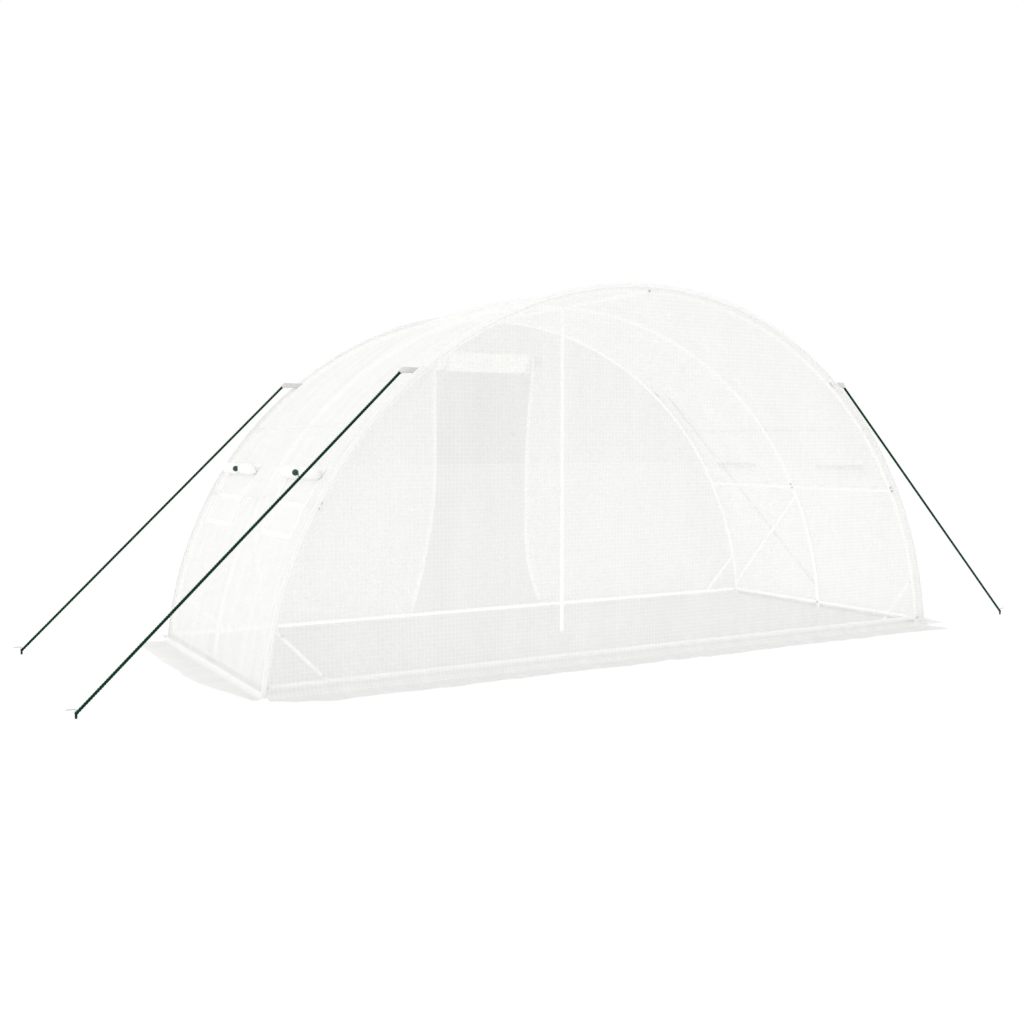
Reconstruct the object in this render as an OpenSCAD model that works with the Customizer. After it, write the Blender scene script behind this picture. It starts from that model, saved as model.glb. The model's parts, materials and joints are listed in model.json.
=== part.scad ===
// Walk-in polytunnel greenhouse: three tube hoops tied by base rails, purlins and a ridge
// carry a sewn film cover with four mesh windows, a rolled-up door and four guy ropes.
// Origin on the ground under the middle of the tunnel. x runs across the span, y from the
// closed gable to the door gable, z up. Millimetres.

/* [Hoops] */
// Span of a hoop on the ground, between tube centrelines
hoop_span = 5000; // [4800:10:5200]
// Height of a hoop's centreline at the crown
hoop_rise = 2300; // [2200:10:2400]
// Distance from one hoop to the next
bay_length = 1000; // [900:10:1300]
// Outside diameter of hoops, rails, purlins and pole
tube_d = 25; // [20:0.5:30]
// Wall of every tube
tube_wall = 1; // [0.8:0.1:1.5]
// Length of the swaged spigot that joins two hoop tubes
spigot_length = 60; // [40:5:90]
// Clearance between pieces that seat on or in each other
fit_gap = 0.3; // [0.2:0.05:0.5]

/* [Rails and braces] */
// Height of the base rails' centreline
rail_z = 50; // [40:1:70]
// Height of the side purlins, where leg and rafter tubes join, in percent of the rise
purlin_share = 43.5; // [41:0.5:46]
// Outside diameter of the braces
brace_d = 20; // [16:0.5:22]
// Rise and run of a corner brace between base rail and hoop
corner_brace_reach = 300; // [220:10:400]
// Drop of a side brace's top end below its purlin
side_brace_drop = 70; // [60:5:120]
// Height of a side brace's foot above the base rail
side_brace_lift = 60; // [50:5:100]

/* [Cover] */
// Thickness of the film panels
cover_t = 2; // [1.5:0.5:4]
// Run of the cover past the end hoops
cover_overhang = 55; // [45:5:100]
// Lift of the seam between side panels and roof panels above the purlins
panel_seam_lift = 450; // [400:10:550]
// Stand of the bound gable seam above the film
seam_h = 35; // [20:1:50]
// Thickness of the bound gable seam
seam_t = 6; // [4:1:10]
// Width of the skirt that lies on the ground
skirt_w = 240; // [150:10:350]
// Radius of the skirt's outer corners
skirt_corner_r = 60; // [30:5:100]

/* [Windows] */
// Width of a window along the tunnel
window_w = 520; // [400:10:600]
// Height of a window, measured along the film
window_h = 420; // [350:10:480]
// Lift of a window's top edge above the purlin
window_top_lift = 200; // [160:10:240]
// Shift of a window from the middle of its bay towards the gable
window_shift = 80; // [0:10:90]
// Diameter of a rolled-up window cover
window_roll_d = 84; // [70:2:100]
// Diameter of the roll where its loop ties it in
roll_waist_d = 32; // [24:2:44]
// Run of a roll past each side of its window
roll_overlap = 20; // [10:5:40]
// Distance down the film from a window's top edge to its roll
roll_drop = 50; // [40:5:70]
// Diameter of the ball on a window toggle
toggle_d = 38; // [30:1:44]
// Room beside the ball in the tied-in part of a roll
toggle_room = 3; // [2:0.5:6]
// Width of the elastic loop of a window toggle
loop_w = 8; // [5:1:14]
// Thickness of the elastic loops and door ties
loop_t = 3; // [2:0.5:5]
// Turn of the toggle ball below the roll's outermost line, in degrees
toggle_turn = 15; // [0:1:45]

/* [Door] */
// Distance of the opening's left edge from the middle
door_left = 480; // [400:10:500]
// Distance of the opening's right edge from the middle
door_right = 380; // [340:10:500]
// Drop of the opening's top edge below the crown of the hoops
door_drop = 360; // [330:10:450]
// Extra width of the opening at the left foot
left_flare_w = 240; // [150:10:300]
// Height of the flare at the left foot
left_flare_h = 900; // [700:10:1100]
// Extra width of the opening at the right foot
right_flare_w = 125; // [80:5:250]
// Height of the flare at the right foot
right_flare_h = 600; // [450:10:900]
// Diameter of the rolled-up door
door_roll_d = 145; // [110:5:160]
// Length of the rolled-up door
door_roll_length = 980; // [900:10:1060]
// Height of the roll's axis above the top of the opening
door_roll_lift = 35; // [20:5:60]
// Distance of each door tie from the end of the roll
door_tie_inset = 130; // [60:10:250]
// Width of a door tie
door_tie_w = 25; // [15:5:40]

/* [Guy ropes] */
// Diameter of a guy rope
rope_d = 13; // [11:0.5:14]
// Drop of the clips, where the ropes leave, below the crown of the hoops
clip_drop = 543; // [500:1:580]
// Reach of a clip outside the film
clip_reach = 120; // [90:5:140]
// Width of a clip along the tunnel
clip_w = 36; // [30:2:44]
// Height of a clip
clip_h = 34; // [30:1:40]
// Distance of the rope's end from the outer face of its clip
rope_inset = 4; // [2:0.5:8]
// Wall around the rope in a clip's socket
socket_wall = 4; // [3:0.5:5]
// Depth of the socket that holds the rope's end
socket_depth = 16; // [12:1:24]
// Distance of the pegs outside the feet of the hoops
peg_out = 955; // [930:5:1200]
// Diameter of a peg's rod
peg_d = 6; // [5:0.5:8]
// Height of a peg above ground
peg_h = 52; // [50:1:80]
// Length of the arm bent out at a peg's top
peg_arm = 45; // [30:5:70]
// Diameter of the rope winding on a peg
winding_d = 14; // [12:0.5:18]
// Height of the winding on a peg
winding_h = 38; // [36:1:42]
// Height at which the rope meets its winding
rope_foot_z = 26; // [22:1:28]

/* [Hidden] */

// Hoop circle: radius, and height of its centre
hoop_r = (pow(hoop_span / 2, 2) + pow(hoop_rise, 2)) / (2 * hoop_rise);
hoop_cz = hoop_rise - hoop_r;
// Angle from the crown at which a circle of radius r about the hoop's centre reaches height z
function angle_at(z, r) = acos((z - hoop_cz) / r);
// Angle that a length s covers on a circle of radius r
function angle_of(s, r) = s / r * 180 / PI;
// Point of a hoop's centreline at angle a from the crown, in the hoop plane y
function hoop_point(a, y) = [hoop_r * sin(a), y, hoop_cz + hoop_r * cos(a)];

end_y = bay_length;
purlin_z = hoop_rise * purlin_share / 100;
tube_bore = tube_d - 2 * tube_wall;
brace_bore = brace_d - 2 * tube_wall;
saddle_d = tube_d + 2 * fit_gap;
spigot_d = tube_bore - 2 * fit_gap;
spigot_bore = spigot_d - 2 * tube_wall;
joint_a = angle_at(purlin_z, hoop_r);
rail_a = angle_at(rail_z, hoop_r);
seat_a = angle_of(fit_gap, hoop_r);
corner_a = angle_at(rail_z + corner_brace_reach, hoop_r);
brace_top_a = angle_at(purlin_z - side_brace_drop, hoop_r);
brace_foot_a = angle_at(rail_z + side_brace_lift, hoop_r);

film_in = hoop_r + tube_d / 2 + fit_gap;
film_out = film_in + cover_t;
film_y = end_y + cover_overhang;
gable_y = film_y + cover_t;
film_foot_x = sqrt(pow(film_out, 2) - pow(hoop_cz, 2));
panel_a = angle_at(purlin_z + panel_seam_lift, film_in);
skirt_inset = film_foot_x + fit_gap;

window_y = bay_length / 2 + window_shift;
window_top_a = angle_at(purlin_z + window_top_lift, film_in);
window_foot_a = window_top_a + angle_of(window_h, film_in);
roll_a = window_top_a + angle_of(roll_drop, film_out);
wrap_step = 2 * cover_t;
window_roll_r = film_out + fit_gap + window_roll_d / 2 - wrap_step / 2;
window_roll_l = window_w + 2 * roll_overlap;
waist_r = film_out + fit_gap + roll_waist_d / 2;
waist_l = toggle_d + 2 * toggle_room;
door_h = hoop_rise - door_drop;
door_foot_l = door_left + left_flare_w;
door_foot_r = door_right + right_flare_w;
door_roll_z = door_h + door_roll_lift;
door_roll_y = gable_y + fit_gap + door_roll_d / 2 - wrap_step / 2;

clip_in = film_out + fit_gap;
clip_z = hoop_rise - clip_drop;
clip_foot_x = sqrt(pow(clip_in, 2) - pow(clip_z - hoop_cz, 2));
clip_end_x = clip_foot_x + clip_reach;
peg_x = hoop_span / 2 + peg_out;
rope_top = [clip_end_x - rope_inset, end_y, clip_z - rope_inset];
rope_foot = [peg_x, end_y, rope_foot_z];
rope_dir = (rope_foot - rope_top) / norm(rope_foot - rope_top);

arc_fn = 240;
tube_fn = 48;
cut_run = 4 * tube_d;
big = 2 * hoop_span;

// Frame helpers

// Tube bent on the hoop circle from angle a0 to a1
module arc_tube(a0, a1, d, bore) {
  translate([0, 0, hoop_cz])
    rotate([90, 0, 0])
      rotate([0, 0, 90 - a1])
        rotate_extrude(angle = a1 - a0, $fn = arc_fn)
          translate([hoop_r, 0])
            difference() {
              circle(d = d, $fn = tube_fn);
              circle(d = bore, $fn = tube_fn);
            }
}

// Swaged end at angle a: a shoulder inside the tube and a spigot that runs on into the next one
module spigot(a) {
  arc_tube(a + angle_of(1, hoop_r), a + angle_of(8, hoop_r), tube_d - tube_wall, spigot_d - tube_wall);
  arc_tube(a - angle_of(spigot_length, hoop_r), a + angle_of(6, hoop_r), spigot_d, spigot_bore);
}

// Straight rod from p to q
module rod(p, q, d) {
  v = q - p;
  translate(p)
    rotate([0, acos(v[2] / norm(v)), atan2(v[1], v[0])])
      cylinder(d = d, h = norm(v), $fn = tube_fn);
}

// Straight tube from p to q
module straight_tube(p, q, d, bore) {
  u = (q - p) / norm(q - p);
  difference() {
    rod(p, q, d);
    rod(p - u, q + u, bore);
  }
}

// Saddle that a hoop leaves in whatever seats on it at angle a
module hoop_saddle(a, y) {
  translate(hoop_point(a, y))
    rotate([0, 90 + a, 0])
      cylinder(d = saddle_d, h = cut_run, center = true, $fn = tube_fn);
}

// Copies a piece to the left side
module on_left() {
  mirror([1, 0, 0])
    children();
}

// Copies a piece to all four corners
module at_corners() {
  for (sx = [0, 1], sy = [0, 1])
    mirror([sx, 0, 0])
      mirror([0, sy, 0])
        children();
}

// Right leg tube of a hoop, swaged at its top
module leg() {
  difference() {
    union() {
      arc_tube(joint_a, rail_a + angle_of(2 * rail_z, hoop_r), tube_d, tube_bore);
      spigot(joint_a);
    }
    translate([0, -tube_d, -big])
      cube([big, 2 * tube_d, big]);
  }
}

// Right rafter tube of a hoop, from the leg to the crown
module rafter(swaged) {
  arc_tube(swaged ? 0 : seat_a, joint_a - seat_a, tube_d, tube_bore);
  if (swaged)
    spigot(0);
}

// Tubes that run from hoop to hoop, at angle a from the crown
module bay_tubes(a) {
  for (y = [-end_y, 0])
    difference() {
      straight_tube(hoop_point(a, y), hoop_point(a, y + bay_length), tube_d, tube_bore);
      hoop_saddle(a, y);
      hoop_saddle(a, y + bay_length);
    }
}

// Base rail of a gable
module gable_rail(y) {
  difference() {
    straight_tube(hoop_point(-rail_a, y), hoop_point(rail_a, y), tube_d, tube_bore);
    hoop_saddle(-rail_a, y);
    hoop_saddle(rail_a, y);
  }
}

// Base rails of the right side, notched for the gable rails
module side_rails() {
  difference() {
    bay_tubes(rail_a);
    for (y = [-end_y, end_y])
      rod(hoop_point(0, y) - [0, 0, hoop_rise - rail_z], hoop_point(rail_a, y), saddle_d);
  }
}

// Corner braces of a gable
module corner_braces(y) {
  top = hoop_point(corner_a, y);
  foot = top - [corner_brace_reach, 0, corner_brace_reach];
  for (s = [0, 1])
    mirror([s, 0, 0])
      difference() {
        straight_tube(foot, top, brace_d, brace_bore);
        hoop_saddle(corner_a, y);
        rod([0, y, rail_z], [hoop_span / 2, y, rail_z], saddle_d);
      }
}

// Side brace of the right side, from the middle hoop to the foot of the back hoop
module side_brace() {
  difference() {
    straight_tube(hoop_point(brace_foot_a, end_y), hoop_point(brace_top_a, 0), brace_d, brace_bore);
    hoop_saddle(brace_foot_a, end_y);
    hoop_saddle(brace_top_a, 0);
  }
}

// Cover helpers

// Curved panel between angles a0 and a1, radii r0 and r1, and y0 and y1
module shell(a0, a1, r0, r1, y0, y1) {
  translate([0, 0, hoop_cz])
    rotate([90, 0, 0])
      rotate([0, 0, 90 - a1])
        rotate_extrude(angle = a1 - a0, $fn = arc_fn)
          translate([r0, -y1])
            square([r1 - r0, y1 - y0]);
}

// Ground under the right half
module below(z) {
  translate([0, -film_y - big / 2, z - big])
    cube([big, 2 * film_y + big, big]);
}

// Right side panel with its two windows cut out
module side_film() {
  difference() {
    shell(panel_a, rail_a + angle_of(2 * rail_z, hoop_r), film_in, film_out, -film_y, film_y);
    below(0);
    for (s = [-1, 1])
      shell(window_top_a, window_foot_a, film_in - tube_d, film_out + tube_d,
            s * window_y - window_w / 2, s * window_y + window_w / 2);
  }
}

// Mesh screens that fill the right windows
module window_screens() {
  for (s = [-1, 1])
    shell(window_top_a + seat_a, window_foot_a - seat_a, film_in, film_out,
          s * window_y - window_w / 2 + fit_gap, s * window_y + window_w / 2 - fit_gap);
}

// Outline of a gable above the ground
module gable_outline() {
  intersection() {
    translate([0, hoop_cz])
      circle(r = film_out, $fn = arc_fn);
    translate([-hoop_span, 0])
      square([2 * hoop_span, hoop_span]);
  }
}

// Flare of a door edge at the foot, outside x = 0
module flare(w, h) {
  r = (w * w + h * h) / (2 * w);
  difference() {
    translate([-1, -1])
      square([w + 1, h + 1]);
    translate([r, h])
      circle(r = r, $fn = arc_fn);
  }
}

// Opening of the door
module door_outline() {
  translate([-door_left, -1])
    square([door_left + door_right, door_h + 1]);
  translate([door_right, 0])
    flare(right_flare_w, right_flare_h);
  mirror([1, 0])
    translate([door_left, 0])
      flare(left_flare_w, left_flare_h);
}

// Bound seam around the back gable, down to the skirt
module gable_seam() {
  for (s = [0, 1])
    mirror([s, 0, 0])
      difference() {
        shell(0, rail_a + angle_of(2 * rail_z, hoop_r), film_out + fit_gap, film_out + seam_h,
              gable_y - seam_t, gable_y);
        below(cover_t);
      }
}

// Skirt strip of length l whose inner edge lies on the x axis
module skirt(l) {
  linear_extrude(cover_t) {
    translate([-l / 2, 0])
      square([l, skirt_w - skirt_corner_r]);
    translate([-l / 2 + skirt_corner_r, 0])
      square([l - 2 * skirt_corner_r, skirt_w]);
    for (s = [-1, 1])
      translate([s * (l / 2 - skirt_corner_r), skirt_w - skirt_corner_r])
        circle(r = skirt_corner_r, $fn = tube_fn);
  }
}

// Section of a rolled sheet: two half discs that leave a step at the sheet's free edge.
// The smaller half faces -y.
module roll_section(d) {
  intersection() {
    circle(d = d, $fn = arc_fn);
    translate([-d, 0])
      square([2 * d, d]);
  }
  translate([wrap_step / 2, 0])
    intersection() {
      circle(d = d - wrap_step, $fn = arc_fn);
      translate([-d, -d + 1])
        square([2 * d, d]);
    }
}

// Places a piece drawn in x (down the film), y (outwards) and z (along the tunnel) on the
// right window rolls, at radius r
module at_window_roll(r) {
  for (s = [-1, 1])
    translate([r * sin(roll_a), s * window_y, hoop_cz + r * cos(roll_a)])
      rotate([0, roll_a, 0])
        rotate([90, 0, 0])
          children();
}

// Rolled-up covers of the right windows, tied in at the middle
module window_rolls() {
  end_l = (window_roll_l - waist_l) / 2;
  at_window_roll(window_roll_r)
    for (s = [-1, 1])
      translate([0, 0, s * (waist_l + end_l) / 2])
        linear_extrude(end_l, center = true)
          roll_section(window_roll_d);
  at_window_roll(waist_r)
    linear_extrude(waist_l + wrap_step, center = true)
      circle(d = roll_waist_d, $fn = tube_fn);
}

// Balls and elastic loops that hold the right window rolls
module window_toggle() {
  ball_r = roll_waist_d / 2 + fit_gap + toggle_d / 2;
  difference() {
    at_window_roll(waist_r) {
      linear_extrude(loop_w, center = true)
        difference() {
          circle(d = roll_waist_d + 2 * (fit_gap + loop_t), $fn = tube_fn);
          circle(d = roll_waist_d + 2 * fit_gap, $fn = tube_fn);
        }
      translate([ball_r * sin(toggle_turn), ball_r * cos(toggle_turn), 0])
        sphere(d = toggle_d, $fn = tube_fn);
    }
    shell(0, 90, film_in - tube_d, film_out + fit_gap, -film_y, film_y);
  }
}

// Tie loop around the rolled-up door, cut where it meets the gable
module door_tie(x) {
  difference() {
    translate([x, door_roll_y, door_roll_z])
      rotate([0, 90, 0])
        linear_extrude(door_tie_w, center = true)
          difference() {
            circle(d = door_roll_d + 2 * (fit_gap + loop_t), $fn = arc_fn);
            circle(d = door_roll_d + 2 * fit_gap, $fn = arc_fn);
          }
    translate([-big / 2, gable_y + fit_gap - big, 0])
      cube([big, big, big]);
  }
}

// Guy rope helpers, drawn at the back right corner

// Clip that stands out level from the film over the hoop, with a socket for the rope's end
module guy_clip() {
  difference() {
    union() {
      translate([0, end_y - clip_w / 2, clip_z - clip_h / 2])
        cube([clip_end_x, clip_w, clip_h]);
      rod(rope_top - rope_dir * socket_depth, rope_top + rope_dir * socket_depth,
          rope_d + 2 * socket_wall);
    }
    rod(rope_top, rope_top + rope_dir * 2 * socket_depth, rope_d + 2 * fit_gap);
    translate([0, 0, hoop_cz])
      rotate([90, 0, 0])
        cylinder(r = clip_in, h = 4 * film_y, center = true, $fn = arc_fn);
  }
}

// Taut rope from its socket to the winding on its peg
module guy_rope() {
  difference() {
    union() {
      rod(rope_top + rope_dir * fit_gap, rope_foot, rope_d);
      rod([peg_x, end_y, 0], [peg_x, end_y, winding_h], winding_d);
    }
    rod([peg_x, end_y, -1], [peg_x, end_y, winding_h + 1], peg_d + 2 * fit_gap);
  }
}

// Part of a bent peg that stands above ground
module ground_peg() {
  elbow = [peg_x, end_y, peg_h - peg_d / 2];
  tip = elbow + [peg_arm, 0, 0];
  rod([peg_x, end_y, 0], elbow, peg_d);
  rod(elbow, tip, peg_d);
  for (p = [elbow, tip])
    translate(p)
      sphere(d = peg_d, $fn = tube_fn);
}

// Hoop tubes
module hoop_front_left_leg() { color("white") translate([0, -end_y, 0]) on_left() leg(); }
module hoop_front_left_rafter() { color("white") translate([0, -end_y, 0]) on_left() rafter(true); }
module hoop_front_right_rafter() { color("white") translate([0, -end_y, 0]) rafter(false); }
module hoop_front_right_leg() { color("white") translate([0, -end_y, 0]) leg(); }
module hoop_middle_left_leg() { color("white") on_left() leg(); }
module hoop_middle_left_rafter() { color("white") on_left() rafter(true); }
module hoop_middle_right_rafter() { color("white") rafter(false); }
module hoop_middle_right_leg() { color("white") leg(); }
module hoop_back_left_leg() { color("white") translate([0, end_y, 0]) on_left() leg(); }
module hoop_back_left_rafter() { color("white") translate([0, end_y, 0]) on_left() rafter(true); }
module hoop_back_right_rafter() { color("white") translate([0, end_y, 0]) rafter(false); }
module hoop_back_right_leg() { color("white") translate([0, end_y, 0]) leg(); }

// Rails, purlins, pole and braces
module ridge_tubes() { color("white") bay_tubes(0); }
module left_purlins() { color("white") bay_tubes(-joint_a); }
module right_purlins() { color("white") bay_tubes(joint_a); }
module centre_pole() {
  color("white")
    difference() {
      straight_tube([0, 0, 0], [0, 0, hoop_rise], tube_d, tube_bore);
      hoop_saddle(0, 0);
      rod([0, -cut_run, hoop_rise], [0, cut_run, hoop_rise], saddle_d);
    }
}
module front_base_rail() { color("white") gable_rail(-end_y); }
module back_base_rail() { color("white") gable_rail(end_y); }
module left_base_rails() { color("white") on_left() side_rails(); }
module right_base_rails() { color("white") side_rails(); }
module front_corner_braces() { color("white") corner_braces(-end_y); }
module back_corner_braces() { color("white") corner_braces(end_y); }
module left_side_brace() { color("white") rotate([0, 0, 180]) side_brace(); }
module right_side_brace() { color("white") side_brace(); }

// Film cover
module left_side_film() { color("whitesmoke", 0.5) on_left() side_film(); }
module left_roof_film() {
  color("whitesmoke", 0.5)
    shell(-panel_a, 0, film_in, film_out, -film_y, film_y);
}
module right_roof_film() {
  color("whitesmoke", 0.5)
    shell(0, panel_a, film_in, film_out, -film_y, film_y);
}
module right_side_film() { color("whitesmoke", 0.5) side_film(); }
module front_gable_film() {
  color("whitesmoke", 0.5)
    translate([0, -film_y, 0])
      rotate([90, 0, 0])
        linear_extrude(cover_t)
          gable_outline();
}
module back_gable_film() {
  color("whitesmoke", 0.5)
    translate([0, gable_y, 0])
      rotate([90, 0, 0])
        linear_extrude(cover_t)
          difference() {
            gable_outline();
            door_outline();
          }
}
module front_gable_seam() { color("white") mirror([0, 1, 0]) gable_seam(); }
module back_gable_seam() { color("white") gable_seam(); }
module front_skirt() {
  color("whitesmoke", 0.7)
    translate([0, -gable_y, 0])
      rotate([0, 0, 180])
        skirt(2 * film_foot_x);
}
module back_skirt() {
  color("whitesmoke", 0.7)
    difference() {
      translate([0, gable_y, 0])
        skirt(2 * film_foot_x);
      translate([-door_foot_l, 0, -cover_t])
        cube([door_foot_l + door_foot_r, gable_y + 2 * skirt_w, 3 * cover_t]);
    }
}
module left_skirt() {
  color("whitesmoke", 0.7)
    translate([-skirt_inset, 0, 0])
      rotate([0, 0, 90])
        skirt(2 * gable_y);
}
module right_skirt() {
  color("whitesmoke", 0.7)
    translate([skirt_inset, 0, 0])
      rotate([0, 0, -90])
        skirt(2 * gable_y);
}

// Windows and door
module left_window_screens() { color("gainsboro", 0.5) on_left() window_screens(); }
module right_window_screens() { color("gainsboro", 0.5) window_screens(); }
module left_window_rolls() { color("white") on_left() window_rolls(); }
module right_window_rolls() { color("white") window_rolls(); }
module window_toggles() {
  color("darkgreen") {
    window_toggle();
    on_left() window_toggle();
  }
}
module door_roll() {
  color("white")
    translate([0, door_roll_y, door_roll_z])
      rotate([0, 0, 90])
        rotate([90, 0, 0])
          linear_extrude(door_roll_length, center = true)
            rotate([0, 0, -90])
              roll_section(door_roll_d);
}
module door_ties() {
  color("white")
    for (s = [-1, 1])
      door_tie(s * (door_roll_length / 2 - door_tie_inset));
}

// Guy ropes
module guy_clips() { color("silver") at_corners() guy_clip(); }
module guy_ropes() { color("darkgreen") at_corners() guy_rope(); }
module ground_pegs() { color("gray") at_corners() ground_peg(); }

hoop_front_left_leg();
hoop_front_left_rafter();
hoop_front_right_rafter();
hoop_front_right_leg();
hoop_middle_left_leg();
hoop_middle_left_rafter();
hoop_middle_right_rafter();
hoop_middle_right_leg();
hoop_back_left_leg();
hoop_back_left_rafter();
hoop_back_right_rafter();
hoop_back_right_leg();
ridge_tubes();
left_purlins();
right_purlins();
centre_pole();
front_base_rail();
back_base_rail();
left_base_rails();
right_base_rails();
front_corner_braces();
back_corner_braces();
left_side_brace();
right_side_brace();
left_side_film();
left_roof_film();
right_roof_film();
right_side_film();
front_gable_film();
back_gable_film();
front_gable_seam();
back_gable_seam();
front_skirt();
back_skirt();
left_skirt();
right_skirt();
left_window_screens();
right_window_screens();
left_window_rolls();
right_window_rolls();
window_toggles();
door_roll();
door_ties();
guy_clips();
guy_ropes();
ground_pegs();
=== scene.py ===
import json
import math

import bpy
import numpy as np
from bpy.props import FloatProperty, FloatVectorProperty, PointerProperty
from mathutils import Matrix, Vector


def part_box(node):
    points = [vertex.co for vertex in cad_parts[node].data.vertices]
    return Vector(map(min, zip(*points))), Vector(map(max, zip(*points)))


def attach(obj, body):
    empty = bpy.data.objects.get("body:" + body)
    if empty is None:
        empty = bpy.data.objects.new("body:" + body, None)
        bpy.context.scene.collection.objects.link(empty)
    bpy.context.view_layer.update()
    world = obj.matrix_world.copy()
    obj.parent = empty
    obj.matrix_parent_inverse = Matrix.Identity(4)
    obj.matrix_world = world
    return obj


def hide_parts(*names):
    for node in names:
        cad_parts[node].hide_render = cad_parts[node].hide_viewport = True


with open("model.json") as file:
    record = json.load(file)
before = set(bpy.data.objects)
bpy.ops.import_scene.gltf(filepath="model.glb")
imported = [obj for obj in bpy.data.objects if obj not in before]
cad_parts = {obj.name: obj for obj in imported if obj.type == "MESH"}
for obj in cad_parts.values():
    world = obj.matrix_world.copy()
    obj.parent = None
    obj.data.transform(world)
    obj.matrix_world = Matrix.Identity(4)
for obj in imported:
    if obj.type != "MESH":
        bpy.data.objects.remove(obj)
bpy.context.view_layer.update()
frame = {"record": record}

bl_info = {
    "name": "Polytunnel greenhouse",
    "version": (1, 0, 0),
    "blender": (4, 5, 0),
    "location": "3D View > Sidebar > Polytunnel",
    "description": "Dresses a hooped tube frame with its sewn film cover, windows, door and guy ropes",
    "category": "Object",
}

TAU = 2 * math.pi
WHITE = (1, 1, 1, 1)
ALONG, UP = np.eye(3)[1:]
SIDES = (("left", -1), ("right", 1))
ENDS = (("front", -1), ("back", 1))
BODY = "root"


# Sizes of the frame, read from its nodes in metres


def span_of(node):
    """Lowest and highest corner of a node as arrays."""
    low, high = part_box(node)
    return np.array(low), np.array(high)


def middle_of(node):
    """Middle of a node's box."""
    return sum(span_of(node)) / 2


GABLE_LOW, GABLE_HIGH = span_of("front_gable_film")
FOOT, CROWN = GABLE_HIGH[0], GABLE_HIGH[2]
GABLE_Y = -GABLE_LOW[1]
CROWN_LINE = middle_of("ridge_tubes")[2]
# Film circle through the feet and the crown: radius, and height of its centre
FILM_R = (FOOT**2 + CROWN**2) / (2 * CROWN)
FILM_Z = CROWN - FILM_R
TUBE_R = np.ptp(span_of("ridge_tubes"), axis=0)[0] / 2
HOOP_R = CROWN_LINE - FILM_Z
BAY = -middle_of("hoop_front_left_leg")[1]
# The visible sheets lie a little inside the outer faces of the CAD film
INSET = 0.001
SHEET_R = FILM_R - INSET
SHEET_Y = GABLE_Y - INSET


def angle_to(x, z):
    """Angle from the crown, about the hoops' axis, to a point."""
    return math.atan2(abs(x), z - FILM_Z)


def angle_at(z):
    """Angle from the crown to the film at height z."""
    return math.acos((z - FILM_Z) / FILM_R)


RAIL_X, _, RAIL_H = middle_of("left_base_rails")
RAIL_A = angle_to(RAIL_X, RAIL_H)
PURLIN_A = angle_to(*middle_of("left_purlins")[::2])
GROUND_A = angle_at(0)
SKIRT_X = -span_of("left_skirt")[0][0]
SKIRT_W = -span_of("front_skirt")[0][1] - GABLE_Y
ROOF_LOW, ROOF_HIGH = span_of("right_roof_film")
PANEL_S = FILM_R * angle_to(ROOF_HIGH[0], ROOF_LOW[2])
SCREEN_LOW, SCREEN_HIGH = span_of("right_window_screens")
# Play between a CAD screen and the edge of its window
SCREEN_PLAY = 0.0003
WINDOW_TOP_S = FILM_R * angle_at(SCREEN_HIGH[2])
WINDOW_FOOT_S = FILM_R * angle_at(SCREEN_LOW[2])
ROLL_HIGH = span_of("right_window_rolls")[1]
DOOR_ROLL_LOW, DOOR_ROLL_HIGH = span_of("door_roll")
TIE_LOW, TIE_HIGH = span_of("door_ties")
TIE_X = TIE_HIGH[0] - 0.0125
PEG_HIGH = span_of("ground_pegs")[1]
ROPE_HIGH = span_of("guy_ropes")[1]

FRAME_NODES = [row["node"] for row in frame["record"]["subparts"] if row["material_slot"] == "frame_paint"]


# Settings that a user would change


def number(name, description, default, **more):
    return FloatProperty(name=name, description=description, default=default, **more)


def length(name, description, default):
    return number(name, description, default, unit="LENGTH", precision=4)


def angle(name, description, degrees):
    return number(name, description, math.radians(degrees), subtype="ANGLE")


def share(name, description, default):
    return number(name, description, default, subtype="FACTOR", min=0, max=1)


def colour(name, description, default):
    return FloatVectorProperty(
        name=name, description=description, default=default, subtype="COLOR", size=3, min=0, max=1
    )


class FrameSettings(bpy.types.PropertyGroup):
    """Finish of the tubes and their bolts."""

    paint: colour("Paint", "Powder coat of the tubes", (0.985, 0.985, 0.98))
    bolt: colour("Bolt", "Plating of the bolts", (0.16, 0.165, 0.17))
    brace_bolt: colour("Brace bolt", "Plating of the bolts of the braces", (0.86, 0.86, 0.86))
    bolt_d: length("Bolt head", "Diameter of a bolt's domed head", 0.013)


class CoverSettings(bpy.types.PropertyGroup):
    """Shape and weave of the film cover."""

    film: colour("Film", "Colour of the woven film", (0.907, 0.906, 0.891))
    rolled: colour("Rolled film", "Colour of many layers of film in a roll", (0.945, 0.945, 0.935))
    tape: colour("Tape", "Colour of seams and hems", (0.96, 0.96, 0.955))
    between: share("Cover between threads", "Share of light that the film stops between its threads", 0.505)
    on_thread: share("Cover on a thread", "Share of light that a thread stops", 0.55)
    pitch: length("Thread pitch", "Distance of the reinforcing threads", 0.0245)
    thread: length("Thread", "Width of a reinforcing thread", 0.0052)
    yarn: length("Yarn pitch", "Distance of the fine woven yarns", 0.0031)
    sag: length("Sag", "Deepest sag of the film between its tubes", 0.013)
    fold: length("Fold", "Depth of the soft folds in the gables", 0.008)
    flare: length("Flare", "Height over which the film turns out into the skirt", 0.085)
    lie: length("Lie", "Height of the skirt above the ground", 0.003)
    wave: length("Wave", "Height of the waves in the skirt", 0.006)
    seam_h: length("Seam", "Stand of the bound seam above the film", 0.035)
    seam_flat: share("Seam flat", "Share of its stand that a seam keeps where it lies over on one flank", 0.3)
    billow: length("Billow", "Lift of the roof over the middle hoop, where the pole holds it up", 0.045)
    seam_t: length("Seam thickness", "Thickness of the bound seam", 0.005)


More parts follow.
